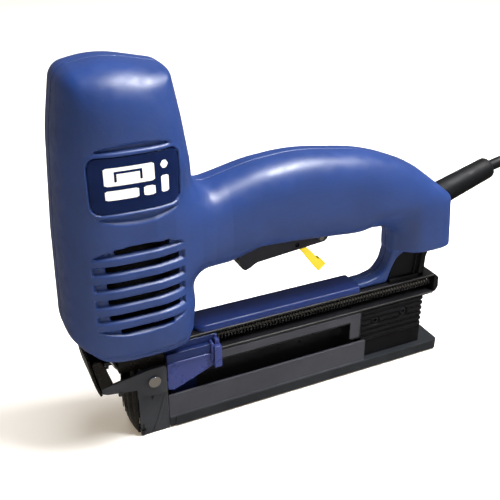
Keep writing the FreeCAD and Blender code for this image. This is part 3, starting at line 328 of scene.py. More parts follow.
def turned(name, centre, axis, profile, sides=32):
    """A solid of revolution. profile holds (distance along the axis, radius), in millimetres."""
    turn = Vector((0, 0, 1)).rotation_difference(Vector(axis)).to_matrix()
    rings = []
    for along, radius in profile:
        rings.append([
            centre + turn @ Vector((
                math.cos(math.tau * k / sides) * radius * MM,
                math.sin(math.tau * k / sides) * radius * MM,
                along * MM,
            ))
            for k in range(sides)
        ])
    return loft(name, rings)


def tube(name, points, radius, sides=10):
    """A round tube through points."""
    rings, up = [], None
    for i, point in enumerate(points):
        way = (points[min(i + 1, len(points) - 1)] - points[max(i - 1, 0)]).normalized()
        if up is None:
            up = way.orthogonal().normalized()
        up = (up - way * up.dot(way)).normalized()
        across = way.cross(up)
        turns = [math.tau * k / sides for k in range(sides)]
        rings.append([point + (up * math.cos(a) + across * math.sin(a)) * radius * MM for a in turns])
    return loft(name, rings)


def join(name, things):
    """Several meshes as one piece."""
    points, faces = [], []
    for thing in things:
        start = len(points)
        points += [v.co.copy() for v in thing.data.vertices]
        faces += [[start + i for i in f.vertices] for f in thing.data.polygons]
        bpy.data.objects.remove(thing)
    return mesh_piece(name, points, faces)


def plates(name, *pieces):
    """Side-view plates as one piece, each given as its outline and its low and high Y."""
    return join(name, [prism(name, *piece) for piece in pieces])


def carve(thing, *cutters, operation="DIFFERENCE"):
    """Cuts the cutters away, or joins them on, and removes them."""
    for cutter in cutters:
        step = thing.modifiers.new("carve", "BOOLEAN")
        step.operation, step.object, step.solver = operation, cutter, "EXACT"
        graph = bpy.context.evaluated_depsgraph_get()
        result = bpy.data.meshes.new_from_object(thing.evaluated_get(graph))
        thing.modifiers.clear()
        thing.data = result
        bpy.data.objects.remove(cutter)
    return thing


def shade_smooth(thing):
    for face in thing.data.polygons:
        face.use_smooth = True
    return thing


def soften(thing, width, segments=2, angle=32):
    """Rounds the hard edges and shades the rest smooth."""
    shade_smooth(thing)
    bevel = thing.modifiers.new("bevel", "BEVEL")
    bevel.width, bevel.segments = width * MM, segments
    bevel.limit_method, bevel.angle_limit = "ANGLE", math.radians(angle)
    bevel.harden_normals = True
    bevel.use_clamp_overlap = True
    weigh = thing.modifiers.new("weigh", "WEIGHTED_NORMAL")
    weigh.keep_sharp = True
    return thing


def put(thing, body, shade, *nodes, slot=None):
    """Gives a piece its finish and its body, and hides the CAD nodes it stands for. The slot argument is not
    used.
    """
    thing.data.materials.clear()
    thing.data.materials.append(SHADERS[shade])
    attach(thing, body)
    if nodes:
        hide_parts(*nodes)
    return thing


# ---------------------------------------------------------------- housing as a solid field
STEP = 0.75
WALL = 3.0
SKIRT_TOP, FOOT_LEVEL, TAIL_LEVEL = 69.2, 62.4, 80.2
WEB_HALF = 6.5
POST_RADIUS, WELL_RADIUS, WELL_FLOOR = 5.2, 3.35, 11.0
TRIGGER_SLOT, TRIGGER_SLOT_HALF = (63.0, 125.2, 84.0, 111.5), 6.95
NECK_HOLE, NECK_HALF = (-6.5, 20.5, 50.0, 70.0), 9.4
# The strain relief: where it starts on the middle plane, how it rises and the radius of its hole.
RELIEF_BACK, RELIEF_UP, RELIEF_RISE, RELIEF_HOLE = 200.0, 107.2, math.radians(17.8), 7.85
# Side view of the housing, with a rounding radius at each corner. Its feet run on below and are cut flat.
SIDE_OUTLINE = (
    (-14.0, 52.0), (-31.0, 77.5, 16.0), (-29.3, 130.0, 90.0), (-25.6, 181.0, 120.0), (-20.3, 211.0, 10.0),
    (1.5, 215.2, 60.0), (30.6, 208.8, 5.0), (35.2, 186.0, 60.0), (39.0, 162.0, 30.0), (42.2, 143.8, 15.0),
    (76.0, 151.8, 90.0), (103.0, 154.2, 140.0), (150.0, 147.6, 120.0), (181.0, 134.5, 70.0),
    (206.0, 113.5, 5.0), (209.8, 77.0), (209.8, 60.0), (169.8, 60.0), (169.3, 96.6, 9.0),
    (136.0, 98.8, 40.0), (98.0, 102.2, 30.0), (78.0, 103.2, 10.0), (60.0, 98.0, 30.0),
    (38.8, 98.4, 12.0), (38.8, 84.0, 30.0), (35.0, 52.0),
)
# The web between the tail and the rail.
WEB_OUTLINE = (
    (147.2, 57.6), (169.0, 57.6), (171.0, 65.0, 8.0), (174.4, 73.5, 8.0), (187.0, 80.8), (187.0, 92.0),
    (169.6, 92.0), (170.4, 80.0, 8.0), (168.0, 70.0, 10.0), (163.0, 63.6, 8.0), (155.0, 61.8), (147.2, 61.4),
)
SCREW_PLACES = ((-18.0, 177.0), (27.0, 177.0), (-19.5, 77.0), (28.0, 77.0), (57.0, 122.0), (140.0, 127.0),
                (196.0, 91.0))
# Half width where nothing else rounds it: place behind the nose and half width.
WIDTHS = ((-40.0, 31.0), (14.0, 31.0), (24.0, 29.0), (32.0, 26.3), (40.0, 23.8), (48.0, 21.8), (58.0, 20.5),
          (75.0, 20.0), (140.0, 19.6), (172.0, 18.6), (198.0, 17.8), (215.0, 16.8))
VENT_TOP, VENT_PITCH, VENT_COUNT = 128.7, 8.85, 6
VENT_MIDDLE, VENT_HALF = 5.0, 23.4
BADGE = (-15.8, 27.6, 148.8, 176.2)
BADGE_CORNER = 4.5


def smooth(t):
    t = np.clip(t, 0.0, 1.0)
    return t * t * (3 - 2 * t)


def outline_distance(outline, x, z):
    """Distance to a closed outline, negative inside."""
    nearest = np.full(x.shape, 1e9)
    inside = np.zeros(x.shape, bool)
    for a, b in zip(outline, outline[1:] + outline[:1]):
        dx, dz = b[0] - a[0], b[1] - a[1]
        t = np.clip(((x - a[0]) * dx + (z - a[1]) * dz) / (dx * dx + dz * dz + 1e-12), 0, 1)
        nearest = np.minimum(nearest, (x - a[0] - t * dx) ** 2 + (z - a[1] - t * dz) ** 2)
        crosses = (a[1] > z) != (b[1] > z)
        inside ^= crosses & (x < a[0] + (z - a[1]) * dx / (dz if abs(dz) > 1e-9 else 1e-9))
    return np.where(inside, -1.0, 1.0) * np.sqrt(nearest)


def box_distance(x, z, x0, x1, z0, z1, corner=0.0):
    dx = np.abs(x - (x0 + x1) / 2) - (x1 - x0) / 2 + corner
    dz = np.abs(z - (z0 + z1) / 2) - (z1 - z0) / 2 + corner
    return np.hypot(np.maximum(dx, 0), np.maximum(dz, 0)) + np.minimum(np.maximum(dx, dz), 0) - corner


def round_and(a, b, radius):
    """Both solids at once, with the edge between them rounded."""
    corner = np.hypot(np.maximum(a + radius, 0), np.maximum(b + radius, 0))
    return np.minimum(np.maximum(a, b), -radius) + corner


def round_or(a, b, radius):
    """Either solid, with the inside corner between them filled."""
    return -round_and(-a, -b, radius)


EDGE_LOW, EDGE_STEP, EDGE_COUNT = (-48.0, 40.0), 1.0, (276, 190)
EDGE_MAP = {}


def edge_distance(x, z):
    """Distance to the side outline, eased well inside it so that no crease runs in from its corners."""
    if not EDGE_MAP:
        axes = [low + EDGE_STEP * np.arange(count) for low, count in zip(EDGE_LOW, EDGE_COUNT)]
        exact = outline_distance(rounded(SIDE_OUTLINE, 8), *np.meshgrid(*axes, indexing="ij"))
        weights = np.exp(-0.5 * (np.arange(-18, 19) / 6.5) ** 2)
        weights /= weights.sum()
        eased = exact
        for axis in (0, 1):
            padding = [(18, 18) if a == axis else (0, 0) for a in (0, 1)]
            padded = np.pad(eased, padding, mode="reflect", reflect_type="odd")
            count = EDGE_COUNT[axis]
            eased = sum(w * np.take(padded, range(k, k + count), axis) for k, w in enumerate(weights))
        EDGE_MAP["values"] = exact + (eased - exact) * smooth((-exact - 0.5) / 12.0)
    values = EDGE_MAP["values"]
    u = np.clip((x - EDGE_LOW[0]) / EDGE_STEP, 0, EDGE_COUNT[0] - 1.001)
    v = np.clip((z - EDGE_LOW[1]) / EDGE_STEP, 0, EDGE_COUNT[1] - 1.001)
    i, j = u.astype(int), v.astype(int)
    s, t = u - i, v - j
    near_row = values[i, j] * (1 - t) + values[i, j + 1] * t
    far_row = values[i + 1, j] * (1 - t) + values[i + 1, j + 1] * t
    return near_row * (1 - s) + far_row * s


def section_shape(x, z):
    """What rounds the cross-section at places in the side view: share, half width and squareness."""
    edge = edge_distance(x, z)
    by_head = smooth((26.0 - x) / 22.0)
    above = np.maximum(smooth((z - 150.0) / 16.0), smooth((100.0 - z) / 16.0)) * (x < 60)
    width = np.interp(x, *zip(*WIDTHS))
    width = width + (31.0 - width) * above
    headness = np.maximum(by_head, above)
    depth = 24.0 + 10.0 * headness
    power = 2.6 + 0.4 * headness + 2.4 * smooth((x - 186.0) / 18.0)
    over_web = smooth((x - 140.0) / 14.0) * smooth((188.0 - x) / 14.0) * smooth((116.0 - z) / 10.0)
    power = power - 0.7 * over_web
    return np.clip(edge / depth + 1.0, 0.0, None), width, power


def skin(x, z):
    """Half the housing's width at places in the side view."""
    share, width, power = section_shape(np.asarray(x, float), np.asarray(z, float))
    return width * np.clip(1 - share ** power, 0, 1) ** (1 / power)


def vent_shape(k, x, z):
    """How deep into vent k a place lies, 0 to 1, with a wide slope along its lower lip."""
    middle = VENT_TOP - k * VENT_PITCH
    across = np.clip(1 - ((x - VENT_MIDDLE) / VENT_HALF) ** 2, 0, 1)
    top, bottom = middle + 2.3, middle - 2.9
    if k == 0:
        top = bottom + 5.6 * across ** 0.6
    if k == VENT_COUNT - 1:
        bottom = top - 5.4 * across ** 0.6
    ends = VENT_HALF - np.abs(x - VENT_MIDDLE)
    return smooth(np.minimum.reduce([(top - z) / 0.7, (z - bottom) / 1.7, ends / 1.3]))


def crescent(x, z, left, right, flat, bulge, slope):
    """A shallow groove with one straight edge and one bulging edge, 0 to 1."""
    across = np.clip(1 - ((x - (left + right) / 2) / ((right - left) / 2)) ** 2, 0, 1)
    curved = flat + bulge * across ** 0.6
    low, high = (curved, flat) if bulge < 0 else (flat, curved)
    soft = (0.6, slope) if bulge < 0 else (slope, 0.6)
    return smooth(np.minimum((high - z) / soft[0], (z - low) / soft[1]))


def relief_map(x, z, near):
    """Depth of the pressed-in details over the side view."""
    depth = np.zeros(x.shape)
    for k in range(VENT_COUNT):
        outer = k in (0, VENT_COUNT - 1)
        depth = np.maximum(depth, vent_shape(k, x, z) * (2.2 if outer else 2.0))
    bottom_line = 67.2 + 0.0022 * (x - 4.0) ** 2
    line_ends = smooth((x + 10.0) / 4.0) * smooth((22.0 - x) / 4.0)
    depth += 0.7 * np.exp(-(((z - bottom_line) / 0.45) ** 2)) * line_ends
    if near:
        edge = box_distance(x, z, *BADGE, BADGE_CORNER)
        depth = np.maximum(depth, 2.0 * crescent(x, z, -13.5, 24.0, 177.9, 3.8, 0.9))
        depth = np.maximum(depth, 2.0 * crescent(x, z, -14.0, 27.0, 147.0, -5.6, 3.4))
        depth = depth - 0.35 * np.exp(-(((edge - 0.7) / 0.55) ** 2))
        depth = depth + 1.15 * smooth(0.5 - edge / 0.5)
    return depth


def layer(values):
    """Values over the side view, laid out to meet a row of Y."""
    return values.astype(np.float32)[:, None, :]


def plain_form(x, y, z):
    """The housing's outer form before any detail, as a field: negative inside."""
    share, width, power = (layer(values) for values in section_shape(x, z))
    level = (share ** power + (y / width) ** power) ** (1 / power) - 1
    slope = np.sqrt(sum(g ** 2 for g in np.gradient(level, STEP)))
    return level / np.maximum(slope, 0.012)


def housing_field(near):
    """A housing half and its plain form as fields on a grid: negative inside. Y grows outwards."""
    xs = np.arange(-33.6, 213.0, STEP)
    ys = np.arange(-1.2, 33.0, STEP)
    zs = np.arange(55.8, 217.0, STEP)
    x, z = np.meshgrid(xs, zs, indexing="ij")
    depth = ys.astype(np.float32)[None, :, None]
    y = np.abs(depth)
    plain = plain_form(x, y, z)
    outer = plain + layer(0.9 * smooth((SKIRT_TOP - z) / 0.7) * (x < 60))
    outer = round_and(outer, layer(FOOT_LEVEL - z), 3.0)
    outer = round_and(outer, layer(np.minimum(TAIL_LEVEL - z, x - 150.0)), 1.4)
    web = round_and(layer(outline_distance(rounded(WEB_OUTLINE, 6), x, z)), y - WEB_HALF, 2.0)
    outer = round_or(outer, web, 2.5)
    shell = outer + layer(relief_map(x, z, near)) * smooth((y - 9.0) / 5.0)
    posts = np.min([np.hypot(x - a, z - b) for a, b in SCREW_PLACES], axis=0)
    inner = np.minimum(-(outer + WALL), layer(posts - POST_RADIUS))
    inner = np.minimum(inner, np.maximum(web, -(web + 2.2)))
    solid = np.maximum(shell, inner)
    for k in range(VENT_COUNT):
        middle = VENT_TOP - k * VENT_PITCH
        narrow = 5.0 if k in (0, VENT_COUNT - 1) else 0.0
        slot = box_distance(x, z, -11.8 + narrow, 25.4 - narrow, middle - 1.6, middle + 2.0, 0.4)
        solid = np.maximum(solid, -np.maximum(layer(slot), 16.0 - y))
    trigger_slot = np.maximum(layer(box_distance(x, z, *TRIGGER_SLOT, 1.0)), y - TRIGGER_SLOT_HALF)
    solid = round_and(solid, -trigger_slot, 0.6)
    along = (x - RELIEF_BACK) * math.cos(RELIEF_RISE) + (z - RELIEF_UP) * math.sin(RELIEF_RISE)
    off = -(x - RELIEF_BACK) * math.sin(RELIEF_RISE) + (z - RELIEF_UP) * math.cos(RELIEF_RISE)
    exit_hole = np.maximum(np.hypot(layer(off), y) - RELIEF_HOLE, layer(-along))
    solid = round_and(solid, -exit_hole, 0.6)
    neck = np.maximum(layer(box_distance(x, z, *NECK_HOLE)), y - NECK_HALF)
    solid = np.maximum(solid, -neck)
    if not near:
        well = np.maximum(layer(posts - WELL_RADIUS), WELL_FLOOR - y)
        solid = round_and(solid, -well, 0.4)
    return round_and(solid, 0.05 - depth, 0.5), plain, (xs, ys, zs)


def surface_nets(field):
    """One vertex in each grid cell that the zero level crosses, and a quad across each crossed edge."""
    inside = field < 0
    nx, ny, nz = field.shape
    count = np.zeros((nx - 1, ny - 1, nz - 1), np.int8)
    for i, j, k in product((0, 1), repeat=3):
        count += inside[i:nx - 1 + i, j:ny - 1 + j, k:nz - 1 + k]
    active = (count > 0) & (count < 8)
    number = np.full(active.shape, -1, np.int64)
    cells = np.argwhere(active)
    number[active] = np.arange(len(cells))
    total, hits = np.zeros((len(cells), 3)), np.zeros(len(cells))
    for axis in range(3):
        others = [a for a in range(3) if a != axis]
        for u, v in product((0, 1), repeat=2):
            low = cells.copy()
            low[:, others[0]] += u
            low[:, others[1]] += v
            high = low.copy()
            high[:, axis] += 1
            a, b = field[tuple(low.T)], field[tuple(high.T)]
            crossed = (a < 0) != (b < 0)
            t = a[crossed] / (a[crossed] - b[crossed])
            place = low[crossed].astype(float)
            place[:, axis] += t
            total[crossed] += place
            hits[crossed] += 1
    points = total / hits[:, None]
    faces = []
    for axis in range(3):
        u, v = [(axis + 1) % 3, (axis + 2) % 3]
        first = np.take(inside, range(field.shape[axis] - 1), axis)
        second = np.take(inside, range(1, field.shape[axis]), axis)
        edges = np.argwhere(first != second)
        keep = (edges[:, u] > 0) & (edges[:, v] > 0)
        keep &= (edges[:, u] < field.shape[u] - 1) & (edges[:, v] < field.shape[v] - 1)
        edges = edges[keep]
        outward = first[tuple(edges.T)]
        corners = []
        for du, dv in ((-1, -1), (0, -1), (0, 0), (-1, 0)):
            cell = edges.copy()
            cell[:, u] += du
            cell[:, v] += dv
            corners.append(number[tuple(cell.T)])
        quads = np.stack(corners, 1)
        quads[~outward] = quads[~outward][:, ::-1]
        faces.append(quads)
    return points, np.concatenate(faces)


def sample(field, grid, points):
    """The field's value at places between grid points."""
    where = [(points[:, a] - grid[a][0]) / STEP for a in range(3)]
    base = [np.clip(w.astype(int), 0, field.shape[a] - 2) for a, w in enumerate(where)]
    part = [np.clip(w - b, 0, 1) for w, b in zip(where, base)]
    value = 0
    for corner in product((0, 1), repeat=3):
        weight = 1
        for c, p in zip(corner, part):
            weight = weight * (p if c else 1 - p)
        value = value + weight * field[tuple(b + c for b, c in zip(base, corner))]
    return value


FACE_LIMIT = 190_000
HIDDEN_BELOW = 1.8


def housing_half(name, near):
    """One half of the housing, thinned mostly on its hidden inside, and shaded by the field's own slope."""
    field, plain, grid = housing_field(near)
    points, faces = surface_nets(field)
    places = np.stack([grid[a][0] + points[:, a] * STEP for a in range(3)], 1)
    data = bpy.data.meshes.new(name)
    data.from_pydata(places.tolist(), [], faces.tolist())
    thing = bpy.data.objects.new(name, data)
    bpy.context.scene.collection.objects.link(thing)
    triangles = 2 * len(faces)
    if triangles > FACE_LIMIT:
        hidden = np.nonzero(sample(plain, grid, places) < -HIDDEN_BELOW)[0]
        group = thing.vertex_groups.new(name="inside")
        group.add([int(i) for i in hidden], 1.0, "REPLACE")
        thin = thing.modifiers.new("thin", "DECIMATE")
        thin.ratio = FACE_LIMIT / triangles
        thin.vertex_group, thin.vertex_group_factor = group.name, 0.0005
        graph = bpy.context.evaluated_depsgraph_get()
        data = bpy.data.meshes.new_from_object(thing.evaluated_get(graph))
        thing.modifiers.clear()
        thing.vertex_groups.clear()
        thing.data = data
    places = np.empty(len(data.vertices) * 3)
    data.vertices.foreach_get("co", places)
    places = places.reshape(-1, 3)
    slopes = []
    for axis in range(3):
        shift = np.zeros(3)
        shift[axis] = 0.5 * STEP
        slopes.append(sample(field, grid, places + shift) - sample(field, grid, places - shift))
    normals = np.stack(slopes, 1)
    normals /= np.maximum(np.linalg.norm(normals, axis=1), 1e-9)[:, None]
    side = -1.0 if near else 1.0
    normals[:, 1] *= side
    in_frame = np.stack([NOSE_PLANE + places[:, 0] * MM, side * places[:, 1] * MM, places[:, 2] * MM], 1)
    data.vertices.foreach_set("co", in_frame.ravel())
    if near:
        data.flip_normals()
    data.update()
    data.polygons.foreach_set("use_smooth", [True] * len(data.polygons))
    data.normals_split_custom_set_from_vertices(normals.tolist())
    return thing


def housing():
    put(housing_half("housing_near", True), "body", "blue_plastic", "housing_left")
    put(housing_half("housing_far", False), "body", "blue_plastic", "housing_right")


# ---------------------------------------------------------------- badge
def skin_patch(name, left, right, low, high, corner, raise_by, thick):
    """A plate with rounded corners that follows the near side of the housing."""
    columns, rows = max(4, int((right - left) / 1.2)), max(3, int((high - low) / 1.2))
    outside, inside = [], []
    for i in range(columns + 1):
        u = left + (right - left) * i / columns
        near_end = max(0.0, corner - min(u - left, right - u))
        inset = corner - math.sqrt(max(0.0, corner ** 2 - near_end ** 2))
        for j in range(rows + 1):
            v = low + inset + (high - low - 2 * inset) * j / rows
            half = float(skin(np.array([u]), np.array([v]))[0])
            outside.append(at(u, -(half + raise_by), v))
            inside.append(at(u, -(half + raise_by - thick), v))
    n = len(outside)
    index = np.arange(n).reshape(columns + 1, rows + 1)
    faces = []
    for i, j in product(range(columns), range(rows)):
        quad = (index[i, j], index[i + 1, j], index[i + 1, j + 1], index[i, j + 1])
        faces += [quad, tuple(n + q for q in reversed(quad))]
    rim = [*index[:, 0], *index[-1, 1:], *index[-2::-1, -1], *index[0, -2:0:-1]]
    faces += [(a, b, n + b, n + a) for a, b in zip(rim, rim[1:] + rim[:1])]
    thing = mesh_piece(name, outside + inside, faces)
    face_outwards(thing)
    return thing


def badge():
    left, right, low, high = BADGE
    plate = skin_patch("badge_plate", left + 0.35, right - 0.35, low + 0.35, high - 0.35, BADGE_CORNER,
                       -0.25, 1.1)
    put(soften(plate, 0.3, 2, 50), "body", "badge", "badge_plate")
    # Plain print: a light panel with a dark staple, and bars below it.
    shapes = [("panel", -9.0, 14.5, 162.6, 171.2, 0.6), ("bar_long", -9.0, 6.6, 155.8, 160.4, 0.5),
              ("bar_short", 9.0, 14.5, 155.8, 160.4, 0.5), ("dot", 17.6, 21.4, 167.4, 171.2, 1.8),
              ("dash", 17.6, 21.4, 155.8, 164.0, 0.6)]
    prints = [skin_patch(f"print_{n}", a, b, c, d, r, -0.2, 0.12) for n, a, b, c, d, r in shapes]
    put(soften(join("badge_print", prints), 0.02, 1), "body", "badge_print", slot="badge")
    staple = [("left", -4.4, -3.2, 164.4, 169.4), ("right", 7.6, 8.8, 164.4, 169.4),
              ("top", -4.4, 8.8, 168.2, 169.4)]
    marks = [skin_patch(f"mark_{n}", a, b, c, d, 0.2, -0.15, 0.12) for n, a, b, c, d in staple]
    put(soften(join("badge_mark", marks), 0.02, 1), "body", "badge")


# ---------------------------------------------------------------- magazine side
def helix(name, foot, axis, length, radius, wire, turns, sides=6, per_turn=14):
    """A round-wire spring along X or Z that starts at foot."""
    points = []
    for k in range(int(turns * per_turn) + 1):
        angle = math.tau * k / per_turn
        along = length * k / (turns * per_turn)
        c, s = math.cos(angle) * radius, math.sin(angle) * radius
        step = (along, c, s) if axis == "X" else (c, s, along)
        points.append(foot + Vector(step) * MM)
    return tube(name, points, wire, sides)


def rail():
    """The magazine rail, lighter strips along its sheet edges for bare wear and painted glints, its end cap,
    and the rod and spring that drive the pusher.
    """
    half, top, shelf, sheet = 10.5, 57.5, 45.5, 1.5
    flange = join("rail_sheets", [
        block("top", (20.0, 203.0), (1 - half, half), (top - sheet, top)),
        block("back", (20.0, 203.0), (half - sheet, half), (shelf - sheet, top)),
        block("shelf", (20.0, 203.0), (-half, half), (shelf - sheet, shelf)),
    ])
    band = ((20.0, 37.0), (142.0, 37.0), (142.0, 24.5, 1.0), (149.2, 24.5, 1.0), (149.2, 44.2),
            (20.0, 44.2))
    bands = plates("bands", (band, -half, sheet - half), (band, half - sheet, half))
    put(soften(join("magazine_rail", [flange, bands]), 0.35, 2), "body", "dark_steel", "magazine_rail")
    # Lighter strips on the sheet edges: bare worn edges, and painted glints where the edges catch the light.
    lips = [
        block("lip", (20.5, 202.5), (front - 0.08, front + 0.1), (level - 0.55, level - 0.15))
        for front, level in ((1 - half, top), (-half, shelf))
    ]
    put(soften(join("rail_bare_edge_glints", lips), 0.05, 1), "body", "edge_wear_and_glint", slot="zinc_steel")
    # Painted highlight: a grey sheet over the band's near face stands in for light caught on the dark steel.
    face = ((27.0, 38.2), (140.6, 38.2), (140.6, 26.0, 0.8), (147.8, 26.0, 0.8), (147.8, 43.4),
            (27.0, 43.4))
    wall = prism("rail_band_painted_highlight", face, -half - 0.25, -half + 0.1)
    put(soften(wall, 0.12, 1), "body", "plate_grey", slot="dark_steel")
    knob = ((203.0, 44.4, 0.6), (205.0, 44.4, 2.0), (207.0, 47.5, 2.5), (206.8, 54.5, 3.0),
            (203.0, 58.2, 1.5))
    cap = prism("rail_end_cap", knob, -10.0, 10.5, steps=8)
    put(soften(cap, 1.2, 4), "body", "black_plastic", "rail_end_cap")
    profile = ((0, 1.0), (0.3, 1.2), (184.0, 1.2), (184.6, 1.0))
    rod = turned("spring_rod", at(20.2, -4.0, 50.7), (1, 0, 0), profile, 16)
    put(soften(rod, 0.1, 1), "body", "zinc_steel", "spring_rod")
    spring = shade_smooth(helix("pusher_spring", at(52.6, -4.0, 50.7), "X", 149.8, 2.9, 0.45, 72))
    put(spring, "body", "spring_steel", "pusher_spring")
    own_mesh(spring)


def rail_cover():
    """The long blue cover on the rail: rounded shoulders and a rounded nose in plan. Its blue is a darker
    copy of the housing's, painted shade for its place under the handle.
    """
    start, end, half, low, top = 38.9, 146.9, 9.2, 57.6, 61.6
    rings = []
    nose = 7.0
    stations = [start + nose * (1 - math.cos(math.radians(a))) for a in (0, 15, 30, 45, 60, 75, 90)]
    for x in (*stations, 70.0, 100.0, 130.0, end - 0.5, end):
        t = min(1.0, (x - start) / nose)
        narrow = math.sqrt(max(0.0, 1 - (1 - t) ** 2)) * (half - 0.9) + 0.9
        drop = 1.6 * (1 - t) ** 2
        shape = rounded(((-narrow, low), (narrow, low), (narrow, top - drop, min(1.8, narrow * 0.8)),
                         (-narrow, top - drop, min(1.8, narrow * 0.8))), 6)
        inset = 0.3 if x == end else 0.0
        rings.append([at(x, p[0] * (1 - inset / half), p[1] - inset * 0.5) for p in shape])
    # Painted shade: the cover takes the darker blue for the shade under the handle.
    put(soften(loft("rail_cover", rings), 0.3, 2, 50), "body", "painted_shade_cover_blue", "rail_cover",
        slot="blue_plastic")


def bracket():
    """Dark bracket under the tail: a web with ribs at its rear edge, its foot and its middle."""
    web = ((169.4, 57.6), (195.0, 57.6, 1.0), (195.4, 71.0, 6.0), (198.2, 78.9), (175.6, 79.4),
           (172.0, 74.0, 6.0))
    rear_rib = ((190.6, 57.6), (195.2, 57.6, 1.0), (195.6, 71.0, 6.0), (198.0, 79.0), (192.6, 79.2))
    foot_rib = ((169.4, 57.6), (195.0, 57.6), (195.0, 60.4), (169.8, 60.4))
    middle_rib = ((187.0, 59.0), (188.2, 59.0), (189.6, 79.0), (188.4, 79.0))
    piece = plates("rear_bracket", (web, -6.2, 6.2), (rear_rib, -8.0, 8.0), (foot_rib, -8.0, 8.0),
                   (middle_rib, -7.2, 7.2))
    put(soften(piece, 0.4, 2), "body", "black_plastic", "rear_bracket")


def pusher():
    """The blue staple pusher: a carriage on the rod, a wedge-shaped skirt and a stepped finger knob. The
    carriage's darker blue is painted shade for the head's shadow on it.
    """
    saddle = ((24.5, 12.0), (40.0, 12.0, 0.6), (40.0, 36.4), (24.5, 36.4))
    carriage = plates(
        "pusher",
        (rect((20.3, 51.6), (46.0, 55.4), 0.8), -9.6, 7.4),
        (rect((20.3, 48.8), (45.2, 50.9), 0.6), -12.3, -9.4),
        (rect((24.5, 40.0), (35.5, 46.4)), -2.7, 2.7),
        (rect((24.5, 40.0), (34.2, 36.4)), -4.0, 4.0),
        (saddle, -4.4, -2.7),
        (saddle, 2.7, 4.4),
    )
    # Painted shade: the carriage takes the darker blue for the head's shadow on it.
    put(soften(carriage, 0.3, 2), "pusher", "painted_shade_blue", "pusher", slot="pusher_blue")
    skirt = ((20.3, 45.0), (20.3, 27.4), (24.0, 26.4), (34.6, 30.5), (48.8, 36.4, 1.0), (48.8, 45.0))
    knob_step = ((46.4, 40.0), (47.9, 40.0), (47.9, 52.2), (46.4, 52.2, 0.4))
    finger_piece = plates(
        "pusher_finger_piece",
        (skirt, -12.2, -10.9),
        (rect((20.3, 48.8), (43.9, 45.2)), -12.9, -10.9),
        (rect((47.7, 52.2), (36.2, 50.4), 0.8, 0.6), -15.4, -12.0),
        (knob_step, -13.8, -9.6),
        (rect((49.0, 51.7), (44.4, 53.4), 0.6), -12.8, -9.4),
        (rect((49.6, 51.0), (50.0, 55.3)), -10.4, -8.0),
    )
    put(soften(finger_piece, 0.3, 2), "pusher", "pusher_blue")


# ---------------------------------------------------------------- nose
def nose():
    body = carve(
        block("nose_body", (5.2, 20.0), (-10.6, 10.6), (0.0, 45.0)),
        block("slot", (4.0, 21.0), (-3.6, 3.6), (-1.0, 35.0)),
        block("room_near", (4.0, 8.4), (-11.0, -8.0), (-1.0, 9.0)),
        block("room_far", (4.0, 8.4), (8.0, 11.0), (-1.0, 9.0)),
    )
    body = carve(body, block("neck", (-6.0, 20.0), (-9.0, 9.0), (44.5, 66.0)), operation="UNION")
    body = carve(body, block("blade_way", (3.1, 4.9), (-5.4, 5.4), (30.0, 68.0)))
    put(soften(body, 0.5, 2), "body", "black_steel", "nose_body", slot="dark_steel")
    plate = ((2.7, 0.0, 0.8), (5.0, 0.0), (8.6, 8.2, 8.0), (12.6, 15.9, 6.0), (16.0, 25.4, 3.0),
             (20.0, 27.0), (20.0, 45.0, 3.0), (2.7, 45.0, 3.0))
    skirt = ((5.0, 0.0), (20.0, 0.0), (20.0, 28.0), (9.0, 28.0))
    rib = ((9.6, 1.5), (11.0, 1.5), (14.4, 9.0, 6.0), (18.4, 24.0), (17.3, 24.4), (13.0, 10.0, 6.0))
    layers = ((plate, 10.7, 12.2), (skirt, 10.7, 11.9), (rib, 11.7, 12.2))
    pieces = [(outline, *sided(side, *depths)) for side in (-1, 1) for outline, *depths in layers]
    put(soften(plates("nose_side_plates", *pieces), 0.22, 2), "body", "ear_steel", "nose_side_plates",
        slot="dark_steel")
    # Painted shade: thin black patches stand in for the shade inside a slot and a hole of the side plate.
    slot_mark = ((3.6, 1.0, 0.3), (4.5, 1.0, 0.3), (4.9, 8.6, 0.3), (4.0, 8.6, 0.3))
    hole_mark = ((9.4, 27.2, 0.2), (12.0, 27.2, 0.3), (10.6, 23.2, 0.2))
    marks = plates("plate_pocket_shade", (slot_mark, -12.3, -12.1), (hole_mark, -12.3, -12.1))
    put(soften(marks, 0.05, 1), "body", "black_rubber", slot="dark_steel")
    dome = ((-0.2, 2.0), (0.0, 3.75), (0.35, 3.8), (0.9, 3.45), (1.4, 2.6), (1.7, 1.5), (1.78, 0.2))
    for name, side, nodes in (("rivet_head_near", -1, ["lever_rivet"]), ("rivet_head_far", 1, [])):
        head = turned(name, at(12.0, side * 14.6, 37.5), (0, side, 0), dome, 36)
        put(shade_smooth(head), "body", "chrome_steel", *nodes)
    profile = ((0, 1.9), (0.1, 1.95), (29.3, 1.95), (29.4, 1.9))
    shaft = turned("rivet_shaft", at(12.0, -14.7, 37.5), (0, 1, 0), profile, 20)
    put(soften(shaft, 0.1, 1), "body", "chrome_steel")


